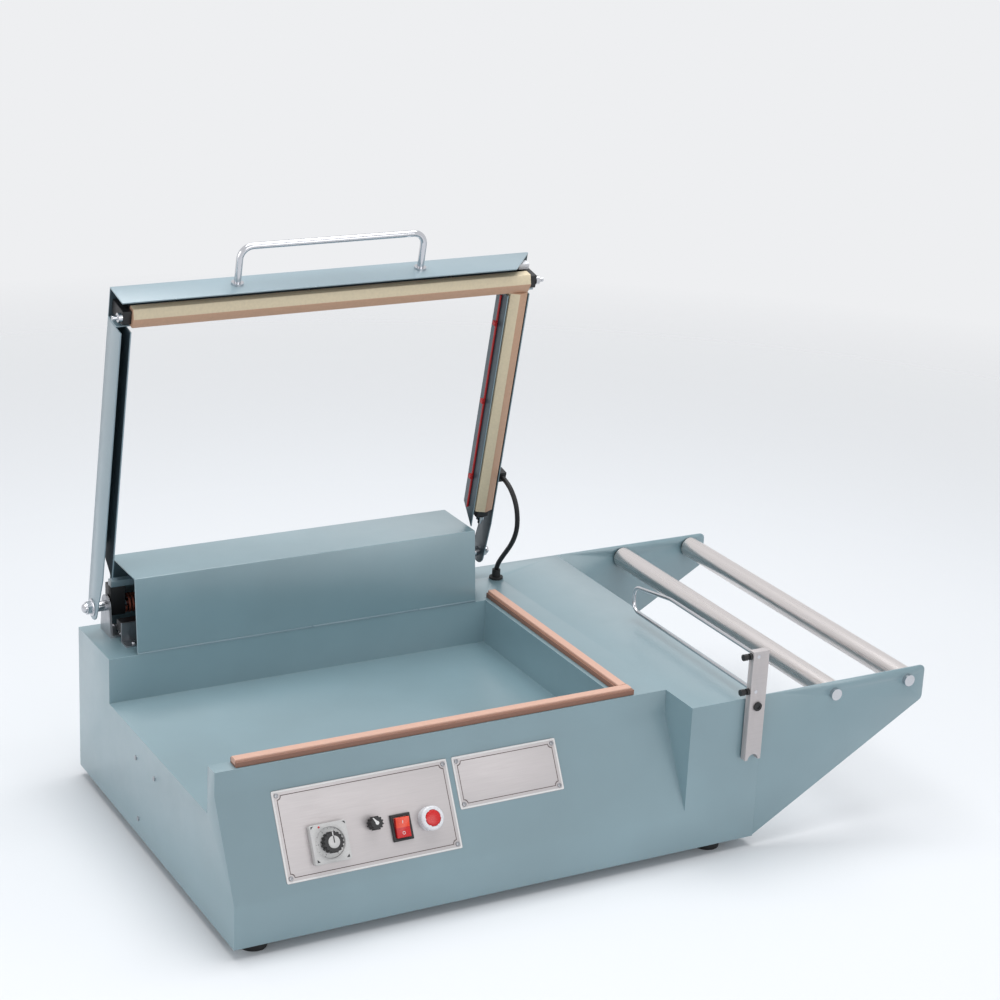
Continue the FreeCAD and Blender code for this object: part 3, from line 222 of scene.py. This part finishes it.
# painted light: a brighter, oranger copy of the rocker's red for its upper half
LIT_RED_ROCKER = moulded("red_rocker_painted_light", rgb(226, 66, 34), roughness=0.22)
CLEAR_BEZEL = moulded("frosted_bezel", rgb(192, 191, 190), roughness=0.2)
DIAL_WHITE = moulded("dial_white", rgb(216, 215, 214), roughness=0.4)
PRINT_BLACK = moulded("printed_black", rgb(38, 38, 42), roughness=0.5)
PRINT_GREY = moulded("printed_brown_grey", rgb(98, 88, 86), roughness=0.5)
SCREW_GREY = brushed("screw_steel", rgb(150, 151, 155), 0.3, (300, 300, 300), metallic=0.8)


def dress(piece, material):
    piece.data.materials.clear()
    piece.data.materials.append(material)


for node_name, node in NODES.items():
    dress(node, MATERIALS[SLOT_OF[node_name]])


# ---------------------------------------------------------------- piece making

def piece_from(mesh, name, body, material, slot):
    made = bpy.data.objects.new(name, mesh)
    bpy.context.scene.collection.objects.link(made)
    dress(made, material)
    if body:
        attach(made, body)
    return made


def soft_edges(node_name, width, finishes=None, choose=None):
    """A copy of a node with its sharp edges rounded over; choose(face) picks one of its finishes."""
    shape = bmesh.new()
    shape.from_mesh(NODES[node_name].data)
    bmesh.ops.remove_doubles(shape, verts=shape.verts, dist=2e-6)
    flat = [edge for edge in shape.edges if len(edge.link_faces) == 2 and edge.calc_face_angle() < 0.002]
    bmesh.ops.dissolve_edges(shape, edges=flat, use_verts=True)
    shape.normal_update()
    picks = [choose(face) if choose else 0 for face in shape.faces]
    mesh = bpy.data.meshes.new(node_name + "_soft")
    shape.to_mesh(mesh)
    shape.free()
    finishes = finishes or [MATERIALS[SLOT_OF[node_name]]]
    made = piece_from(mesh, node_name + "_soft", BODY_OF[node_name], finishes[0], SLOT_OF[node_name])
    for extra in finishes[1:]:
        mesh.materials.append(extra)
    for face, pick in zip(mesh.polygons, picks):
        face.use_smooth, face.material_index = True, pick
    rounding = made.modifiers.new("rounded_edges", "BEVEL")
    rounding.width, rounding.segments = width, 2
    rounding.limit_method, rounding.angle_limit = "ANGLE", math.radians(35)
    rounding.use_clamp_overlap = True
    rounding.harden_normals = True
    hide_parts(node_name)
    return made


# Frames of the machine, its slanted panel and its closed lid.  Details are drawn in their millimetres.
MILLIMETRES = Matrix.Scale(0.001, 4)
MACHINE = Matrix.Translation(Vector(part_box("base_shell")[0])) @ MILLIMETRES
PANEL = MACHINE @ Matrix.Translation((0, 0, 58)) @ Matrix.Rotation(math.atan2(115, 64), 4, "X")
HINGE = Vector((0, 514, 244))
LID = (MACHINE @ Matrix.Translation(HINGE) @ Matrix.Rotation(math.radians(-78), 4, "X")
       @ Matrix.Translation(-HINGE))


def lid_direction(x, y, z):
    return (LID.to_3x3() @ Vector((x, y, z))).normalized()


class Detail:
    """A new piece, drawn from several shapes in the millimetres of one frame."""

    def __init__(self, name, place, body, finish, slot):
        self.name, self.place, self.body, self.finish, self.slot = name, place, body, finish, slot
        self.whole = bmesh.new()

    def take(self, shape, turn=None):
        bmesh.ops.remove_doubles(shape, verts=shape.verts, dist=1e-4)
        bmesh.ops.recalc_face_normals(shape, faces=shape.faces)
        if turn:
            bmesh.ops.transform(shape, matrix=turn, verts=shape.verts)
        part = bpy.data.meshes.new("part")
        shape.to_mesh(part)
        shape.free()
        self.whole.from_mesh(part)
        bpy.data.meshes.remove(part)

    def box(self, low, high, soft=0.0, turn=None):
        low, high = Vector(low), Vector(high)
        shape = bmesh.new()
        bmesh.ops.create_cube(shape, size=1, matrix=Matrix.Translation((low + high) / 2)
                              @ Matrix.Diagonal((*(high - low), 1)))
        if soft:
            bmesh.ops.bevel(shape, geom=shape.edges[:], offset=soft, affect="EDGES", segments=2,
                            profile=0.5, material=-1)
        self.take(shape, turn)

    def turned(self, profile, turn, steps=32):
        """A profile of (radius, height) points spun about the Z axis of turn."""
        shape = bmesh.new()
        points = [shape.verts.new((radius, 0, height)) for radius, height in profile]
        for first, second in zip(points, points[1:]):
            shape.edges.new((first, second))
        bmesh.ops.spin(shape, geom=shape.verts[:] + shape.edges[:], cent=(0, 0, 0), axis=(0, 0, 1),
                       angle=math.tau, steps=steps, use_merge=True)
        self.take(shape, turn)

    def flat(self, loops, low, high, turn=None):
        """A thin plate between closed loops: the first is its edge, the others are its holes."""
        shape = bmesh.new()
        for loop in loops:
            corners = [shape.verts.new((x, y, low)) for x, y in loop]
            for index, corner in enumerate(corners):
                shape.edges.new((corners[index - 1], corner))
        bmesh.ops.triangle_fill(shape, edges=shape.edges[:], use_beauty=True)
        raised = bmesh.ops.extrude_face_region(shape, geom=shape.faces[:])["geom"]
        bmesh.ops.translate(shape, verts=[item for item in raised if isinstance(item, bmesh.types.BMVert)],
                            vec=(0, 0, high - low))
        self.take(shape, turn)

    def cross_screw(self, place, radius, height):
        """A pan-head screw with a cross recess; place puts its seat's centre and axis."""
        rim, arm, half = radius * 0.72, radius * 0.55, radius * 0.14
        shape = bmesh.new()
        profile = [(radius, 0), (radius, height * 0.4), (radius * 0.9, height * 0.8), (rim, height)]
        points = [shape.verts.new((across, 0, up)) for across, up in profile]
        for first, second in zip(points, points[1:]):
            shape.edges.new((first, second))
        bmesh.ops.spin(shape, geom=shape.verts[:] + shape.edges[:], cent=(0, 0, 0), axis=(0, 0, 1),
                       angle=math.tau, steps=24, use_merge=True)
        bmesh.ops.remove_doubles(shape, verts=shape.verts, dist=1e-4)
        top = [edge for edge in shape.edges
               if edge.is_boundary and all(vert.co.z > height * 0.99 for vert in edge.verts)]
        quarter = [(arm, -half), (arm, half), (half, half)]
        cross = []
        for step in range(4):
            spin = Matrix.Rotation(step * math.pi / 2, 2)
            cross += [shape.verts.new((*(spin @ Vector(point)), height)) for point in quarter]
        recess = [shape.edges.new((cross[index - 1], corner)) for index, corner in enumerate(cross)]
        bmesh.ops.triangle_fill(shape, edges=top + recess, use_beauty=True)
        sunk = bmesh.ops.extrude_edge_only(shape, edges=recess)["geom"]
        floor_verts = [item for item in sunk if isinstance(item, bmesh.types.BMVert)]
        floor_edges = [item for item in sunk if isinstance(item, bmesh.types.BMEdge)]
        bmesh.ops.translate(shape, verts=floor_verts, vec=(0, 0, -height * 0.6))
        bmesh.ops.triangle_fill(shape, edges=floor_edges, use_beauty=True)
        self.take(shape, place)

    def lettering(self, text, size, turn, thickness=0.05):
        line = bpy.data.curves.new("lettering", "FONT")
        line.body, line.size, line.extrude = text, size, thickness
        line.align_x, line.align_y = "CENTER", "CENTER"
        holder = bpy.data.objects.new("lettering", line)
        part = bpy.data.meshes.new_from_object(holder)
        part.transform(turn)
        self.whole.from_mesh(part)
        bpy.data.objects.remove(holder)
        bpy.data.meshes.remove(part)

    def done(self, *replaced):
        bmesh.ops.transform(self.whole, matrix=self.place, verts=self.whole.verts)
        mesh = bpy.data.meshes.new(self.name)
        self.whole.to_mesh(mesh)
        self.whole.free()
        mesh.shade_smooth()
        mesh.set_sharp_from_angle(angle=math.radians(32))
        made = piece_from(mesh, self.name, self.body, self.finish, self.slot)
        if replaced:
            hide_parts(*replaced)
        return made


def at(x, y, z=0, axis="Z"):
    """A placement with its Z axis along +Z, +X, -X, +Y or -Y."""
    turns = {"Z": Matrix(), "X": Matrix.Rotation(math.pi / 2, 4, "Y"),
             "-X": Matrix.Rotation(-math.pi / 2, 4, "Y"), "-Y": Matrix.Rotation(math.pi / 2, 4, "X"),
             "Y": Matrix.Rotation(-math.pi / 2, 4, "X")}
    return Matrix.Translation((x, y, z)) @ turns[axis]


# ------------------------------------------------------------ painted and moulded nodes

for sheet, width in (("housing_cover", 0.0012), ("carrier_plate_front", 0.0006),
                     ("carrier_plate_rear", 0.0006), ("base_shell", 0.0014),
                     ("lower_bar_front", 0.0006), ("lower_bar_right", 0.0006), ("guide_bar", 0.0007),
                     ("rocker_bezel", 0.0007), ("wire_terminals", 0.0008), ("lid_switch", 0.0008),
                     ("lever_block", 0.0008), ("lever_bar", 0.0006), ("control_plate", 0.0003),
                     ("label_plate", 0.0003)):
    soft_edges(sheet, width)
soft_edges("timer_body", 0.0009, [CLEAR_BEZEL])


def shaded_channel_faces(node_name):
    """Picks the faces of a lid channel that get painted shade: its inner faces, the faces turned down when the
    lid is closed, and every -X face of the right arm.
    """
    low, high = (Vector(corner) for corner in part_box(node_name))
    middle = (low.x + high.x) / 2
    down = lid_direction(0, 0, -1)
    least = 0.002                       # square metres; the sheet's cut edges are smaller

    def choose(face):
        across = face.normal.x * (middle - face.calc_center_median().x)
        # painted shade also on the right arm's -X faces, where the leads are tied
        shaded_leads_side = node_name == "lid_arm_right" and face.normal.x < -0.9
        return int(face.calc_area() > least
                   and (across > 0.003 or face.normal.dot(down) > 0.9 or shaded_leads_side))
    return choose


# the channels' shaded faces get the painted-shade coat
for channel in ("lid_arm_left", "lid_arm_right", "lid_front_bar"):
    soft_edges(channel, 0.0007, [MATERIALS["lid_paint"], PAINTED_SHADE_COAT], shaded_channel_faces(channel))
# jaw facets turned away from the front (front jaw) or towards +X (right jaw) get the painted-shade facing
forward = lid_direction(0, -1, 0)
soft_edges("jaw_front", 0.0008, [MATERIALS["jaw_facing"], SHADED_JAW_FACING],
           lambda face: int(face.normal.dot(forward) < 0.05))
soft_edges("jaw_right", 0.0008, [MATERIALS["jaw_facing"], SHADED_JAW_FACING],
           lambda face: int(face.normal.x > -0.05))
# the rocker's upper half gets the painted-light copy of its red
rocker_low, rocker_high = (Vector(corner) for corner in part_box("rocker"))
soft_edges("rocker", 0.0008, [MATERIALS["red_plastic"], LIT_RED_ROCKER],
           lambda face: int(face.calc_center_median().z > (rocker_low.z + rocker_high.z) / 2))

# ------------------------------------------------------------ control panel

PLATES = ((70, 13, 306, 125), (313, 59, 461, 125))      # left, low, right, high
PLATE_TOP, SCREW_INSET = 1.0, 6.0

screws = Detail("plate_screws", PANEL, "base", SCREW_GREY, SLOT_OF["plate_rivets"])
for left, low, right, high in PLATES:
    for x in (left + SCREW_INSET, right - SCREW_INSET):
        for y in (low + SCREW_INSET, high - SCREW_INSET):
            screws.cross_screw(at(x, y, PLATE_TOP), 2.9, 1.4)
screws.done("plate_rivets")


def notched_frame(left, low, right, high, notch):
    """A rectangle whose corners are scooped out round the plate's screws."""
    points = []
    for x, y, start in ((left, low, 90), (right, low, 180), (right, high, 270), (left, high, 0)):
        for step in range(7):
            angle = math.radians(start - 15 * step)
            points.append((x + notch * math.cos(angle), y + notch * math.sin(angle)))
    return points


LINE = 1.0
borders = Detail("plate_border_lines", PANEL, "base", PRINT_GREY, "black_plastic")
for left, low, right, high in PLATES:
    inner = SCREW_INSET + LINE
    borders.flat([notched_frame(left + SCREW_INSET, low + SCREW_INSET, right - SCREW_INSET,
                                high - SCREW_INSET, 5.0),
                  notched_frame(left + inner, low + inner, right - inner, high - inner, 5.0)],
                 PLATE_TOP - 0.1, PLATE_TOP + 0.08)
borders.done()


def rectangle(left, low, right, high, inset):
    return [(left + inset, low + inset), (right - inset, low + inset),
            (right - inset, high - inset), (left + inset, high - inset)]


# painted highlight: a white band along each plate's edge, where the aluminium rim catches the light
rim_highlights = Detail("plate_rim_painted_highlight", PANEL, "base", DIAL_WHITE, "plate_alu")
for edges in PLATES:
    rim_highlights.flat([rectangle(*edges, 0.5), rectangle(*edges, 2.4)], PLATE_TOP - 0.1, PLATE_TOP + 0.07)
rim_highlights.done()

TIMER, TIMER_FLOOR, TIMER_TOP, KNOB_TOP = (131, 52), 7.0, 10.0, 21.0
dial = Detail("timer_dial_face", PANEL, "base", DIAL_WHITE, "white_plastic")
dial.turned([(3.4, 0.25), (18.4, 0.25), (18.8, 0), (3.4, 0), (3.4, 0.25)], at(*TIMER, TIMER_FLOOR))
dial.done()
marks = Detail("timer_dial_marks", PANEL, "base", PRINT_BLACK, "black_plastic")
for step in range(21):
    sweep = at(*TIMER, TIMER_FLOOR + 0.25) @ Matrix.Rotation(math.radians(150 - 15 * step), 4, "Z")
    long_tick = step % 2 == 0
    marks.box((-0.2, 17.0 if long_tick else 17.6, 0), (0.2, 18.3, 0.08), turn=sweep)
    if step % 4 == 0:
        upright = sweep @ Matrix.Translation((0, 15.3, 0)) @ Matrix.Rotation(
            -math.radians(150 - 15 * step), 4, "Z")
        marks.lettering(str(step // 2), 2.6, upright)
for x in (-20, 20):
    for y in (-20, 20):
        corner = at(TIMER[0] + x, TIMER[1] + y, TIMER_TOP) @ Matrix.Rotation(
            math.radians(45 if x * y < 0 else -45), 4, "Z")
        marks.flat([[(-2.6, 1.2), (2.6, 1.2), (0, -1.8 if y < 0 else 3.4)]], -0.05, 0.12, corner)
marks.done()
spark = Detail("timer_indicator", PANEL, "base", MATERIALS["red_plastic"], "red_plastic")
spark.turned([(0, 0.7), (0.8, 0.6), (1.3, 0.2), (1.3, -0.2)], at(TIMER[0] - 12, TIMER[1] + 20.5, TIMER_TOP), 16)
spark.done()
cap = Detail("timer_knob_cap", PANEL, "timer_dial", CLEAR_BEZEL, "white_plastic")
cap.turned([(0, 0.9), (6.5, 0.9), (7.4, 0.5), (7.6, 0), (7.6, -0.3), (0, -0.3)], at(*TIMER, KNOB_TOP))
cap.done()
pointer = Detail("timer_knob_pointer", PANEL, "timer_dial", PRINT_BLACK, "black_plastic")
pointer.box((-0.7, -1, 0.85), (0.7, 7, 1.05), turn=at(*TIMER, KNOB_TOP))
pointer.done()
tip = Detail("timer_knob_line", PANEL, "timer_dial", DIAL_WHITE, "white_plastic")
tip.box((-0.6, 7.8, -0.1), (0.6, 12.6, 0.12), turn=at(*TIMER, KNOB_TOP))
tip.done()

SMALL_KNOB, SMALL_TOP = (192.5, 64), 17.0
small = Detail("small_knob_pointer", PANEL, "selector", DIAL_WHITE, "white_plastic")
small.flat([[(-1.7, 0.5), (1.7, 0.5), (0.5, 8.2), (-0.5, 8.2)]], -0.1, 0.25,
           at(*SMALL_KNOB, SMALL_TOP) @ Matrix.Rotation(math.radians(35), 4, "Z"))
small.turned([(0, 0.3), (2.2, 0.25), (2.4, 0), (2.4, -0.1)], at(*SMALL_KNOB, SMALL_TOP), 20)
small.done()

ROCKER = (229, 53)
legend = Detail("rocker_marks", PANEL, "power_rocker", DIAL_WHITE, "red_plastic")
legend.box((-0.4, -2.0, -0.05), (0.4, 2.0, 0.1),
           turn=at(ROCKER[0], ROCKER[1] + 6.2, 9.12) @ Matrix.Rotation(math.radians(13.9), 4, "X"))
legend.turned([(1.4, 0.1), (2.0, 0.1), (2.0, -0.05), (1.4, -0.05), (1.4, 0.1)],
              at(ROCKER[0], ROCKER[1] - 7.3, 7.44), 20)
legend.done()

LAMP = (268, 56.5)
lens = Detail("lamp_lens_dome", PANEL, "base", MATERIALS["red_plastic"], "red_plastic")
lens.turned([(0, 15.6), (3, 15.55), (6, 15.3), (8.6, 14.9), (9.8, 14.4), (9.8, 13.8), (10.2, 13.6),
             (10.4, 13.0), (10.4, 1.1), (0, 1.1)], at(*LAMP), 40)
lens.done("lamp_lens")
grip = Detail("lamp_collar_ribs", PANEL, "base", MATERIALS["white_plastic"], "white_plastic")
for step in range(6):
    grip.box((9.9, -1.2, 12.6), (12.6, 1.2, 14.5), 0.3, at(*LAMP) @ Matrix.Rotation(step * math.tau / 6, 4, "Z"))
grip.done()

# ------------------------------------------------------------ hinge, spring and small fixings

hex_nuts = Detail("hinge_dome_nuts", MACHINE, BODY_OF["hinge_nuts"], MATERIALS["chrome"],
                  SLOT_OF["hinge_nuts"])
for x, axis in ((8, "-X"), (589, "X")):
    seat = at(x, 514, 244, axis)
    hex_nuts.turned([(0, 2), (11.4, 2), (12, 1.5), (12, 0.3), (11.6, 0), (0, 0)], seat)
    hexagon = [(9.6 * math.cos(math.radians(60 * side)), 9.6 * math.sin(math.radians(60 * side)))
               for side in range(6)]
    hex_nuts.flat([hexagon], 2, 8.4, seat)
    hex_nuts.turned([(8.2, 8.0), (8.0, 9.0), (6.4, 9.4), (6.2, 11.6), (5.0, 13.4), (3.0, 14.3),
                     (0, 14.5)], seat)
hex_nuts.done("hinge_nuts")

SPRING_RADIUS, SPRING_WIRE, SPRING_PITCH, SPRING_TURNS, SPRING_START = 11.5, 1.8, 5.0, 6, 82.1
coil = Detail("return_spring_coil", MACHINE, BODY_OF["return_spring"], MATERIALS["spring_steel"],
              SLOT_OF["return_spring"])
wind = bmesh.new()
ring = bmesh.ops.create_circle(wind, segments=10, radius=SPRING_WIRE,
                               matrix=Matrix.Translation((SPRING_START, 514 - SPRING_RADIUS, 244)))
turn_steps = 24
bmesh.ops.spin(wind, geom=wind.verts[:] + wind.edges[:], cent=(0, 514, 244), axis=(-1, 0, 0),
               dvec=(-SPRING_PITCH / turn_steps, 0, 0), angle=math.tau * SPRING_TURNS,
               steps=turn_steps * SPRING_TURNS)
bmesh.ops.holes_fill(wind, edges=[edge for edge in wind.edges if edge.is_boundary], sides=10)
coil.take(wind)
coil.turned([(SPRING_WIRE, 0), (SPRING_WIRE, 40), (0, 40)], at(SPRING_START, 514 - SPRING_RADIUS, 204), 10)
coil.done("return_spring")

deck_screws = Detail("bracket_screws", MACHINE, "base", MATERIALS["zinc_steel"], "zinc_steel")
deck_screws.cross_screw(at(43, 500, 207), 4.2, 2.4)
deck_screws.cross_screw(at(43, 528, 207), 4.2, 2.4)
deck_screws.cross_screw(at(48, 464, 206), 3.6, 2.0)
for x in (40, 56):
    deck_screws.cross_screw(at(x, 476, 224.5, "-Y"), 2.4, 1.4)
deck_screws.done()

fold = Detail("housing_fold", MACHINE, "base", MATERIALS["lid_paint"], "body_paint")
for left, right in ((40, 289), (290.5, 450), (451.5, 540)):
    fold.box((left, 427.1, 204.3), (right, 428.4, 206.6), 0.4)
fold.done()

# white end connector of the seal wires, in the lid's front corner
connector = Detail("wire_connector", LID, "lid", MATERIALS["white_plastic"], "white_plastic")
connector.box((576, 55, 238), (592, 64, 250), 1.6)
connector.box((570, 57, 241), (577, 62, 247), 0.8)
connector.done()


# ------------------------------------------------------------------ flex cable to the lid

FLEX_ROUTE = [(0.0945, 0.1906, 0.3845), (0.0945, 0.1759, 0.3814), (0.0970, 0.1630, 0.3690),
              (0.1000, 0.1565, 0.3525), (0.1025, 0.1560, 0.3340), (0.1050, 0.1605, 0.3160),
              (0.1070, 0.1705, 0.2980), (0.1087, 0.1840, 0.2815), (0.1098, 0.1980, 0.2670),
              (0.1103, 0.2110, 0.2530), (0.1106, 0.2210, 0.2410), (0.1105, 0.2240, 0.2320)]
FLEX_THICKNESS = 0.007

flex_line = bpy.data.curves.new("lid_flex", "CURVE")
flex_line.dimensions = "3D"
spline = flex_line.splines.new("NURBS")
spline.points.add(len(FLEX_ROUTE) - 1)
for point, where in zip(spline.points, FLEX_ROUTE):
    point.co = (*where, 1)
spline.order_u = 3
spline.use_endpoint_u = True
spline.resolution_u = 12


def flex_mesh(thickness):
    flex_line.bevel_depth, flex_line.bevel_resolution = thickness / 2, 4
    flex_line.use_fill_caps = True
    holder = bpy.data.objects.new("flex", flex_line)
    made = bpy.data.meshes.new_from_object(holder)
    bpy.data.objects.remove(holder)
    return made


centre_line = [tuple(vert.co) for vert in flex_mesh(0).vertices]
tube = flex_mesh(FLEX_THICKNESS)
tube.name = "lid_flex"
tube.shade_smooth()
lid_flex = piece_from(tube, "lid_flex", None, MATERIALS["cable"], "cable")
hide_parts("lid_cable")
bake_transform(lid_flex)


# ------------------------------------------------------------------ camera, light

camera_data = bpy.data.cameras.new("view")
camera = bpy.data.objects.new("view", camera_data)
bpy.context.scene.collection.objects.link(camera)
bpy.context.scene.camera = camera
azimuth, elevation, roll = (math.radians(v) for v in (-29.2955, 19.3886, 2.7505))
back = Vector((math.sin(azimuth) * math.cos(elevation), -math.cos(azimuth) * math.cos(elevation),
               math.sin(elevation)))
level = Vector((math.cos(azimuth), math.sin(azimuth), 0))
rise = back.cross(level)
right = math.cos(roll) * level + math.sin(roll) * rise
up = -math.sin(roll) * level + math.cos(roll) * rise
turn = Matrix((right, up, back)).transposed().to_4x4()
camera.matrix_world = Matrix.Translation((-1.4773, -2.6070, 1.4799)) @ turn
camera_data.lens, camera_data.sensor_width = 86.83, 36
camera_data.clip_end = 50


def panel_light(name, place, aim, size, power, colour=(1, 1, 1)):
    lamp = bpy.data.lights.new(name, "AREA")
    lamp.shape, lamp.size, lamp.size_y = "RECTANGLE", *size
    lamp.energy, lamp.color = power, colour
    holder = bpy.data.objects.new(name, lamp)
    bpy.context.scene.collection.objects.link(holder)
    holder.location = place
    holder.rotation_euler = (Vector(aim) - Vector(place)).to_track_quat("-Z", "Y").to_euler()


panel_light("overhead", (0.1, 0.2, 2.9), (0, 0, 0.2), (2.6, 2.2), 70)
panel_light("left_side", (-2.9, 0.1, 1.1), (0, 0, 0.25), (1.8, 1.6), 17)
panel_light("front_fill", (0.3, -3.2, 1.3), (0, 0, 0.2), (2.4, 1.6), 23)

world = bpy.data.worlds.new("studio")
bpy.context.scene.world = world
world.use_nodes = True
air = world.node_tree
shine = air.nodes["Background"]
shine.inputs["Color"].default_value = (*rgb(236, 240, 244), 1)
shine.inputs["Strength"].default_value = 0.55
seen = air.nodes.new("ShaderNodeBackground")
seen.inputs["Color"].default_value = (*rgb(238, 239, 241), 1)
seen.inputs["Strength"].default_value = 1.0
path = air.nodes.new("ShaderNodeLightPath")
either = air.nodes.new("ShaderNodeMath")
either.operation = "MAXIMUM"
air.links.new(path.outputs["Is Camera Ray"], either.inputs[0])
air.links.new(path.outputs["Is Glossy Ray"], either.inputs[1])
choice = air.nodes.new("ShaderNodeMixShader")
air.links.new(either.outputs[0], choice.inputs["Fac"])
air.links.new(shine.outputs[0], choice.inputs[1])
air.links.new(seen.outputs[0], choice.inputs[2])
air.links.new(choice.outputs[0], air.nodes["World Output"].inputs["Surface"])

floor_shape = bmesh.new()
bmesh.ops.create_grid(floor_shape, x_segments=1, y_segments=1, size=12)
floor_mesh = bpy.data.meshes.new("floor")
floor_shape.to_mesh(floor_mesh)
floor_shape.free()
floor = bpy.data.objects.new("floor", floor_mesh)
bpy.context.scene.collection.objects.link(floor)
floor_finish = Finish("pale_floor", roughness=0.6)
floor_finish.set("Base Color", rgb(228, 230, 233))
from_middle = floor_finish.node("ShaderNodeVectorMath", {"operation": "LENGTH"}, {0: floor_finish.place}, 1)
floor_finish.set("Alpha", floor_finish.range(from_middle, 1.3, 2.9, 1.0, 0.0))
dress(floor, floor_finish.material)

bpy.context.scene.view_settings.view_transform = "Standard"
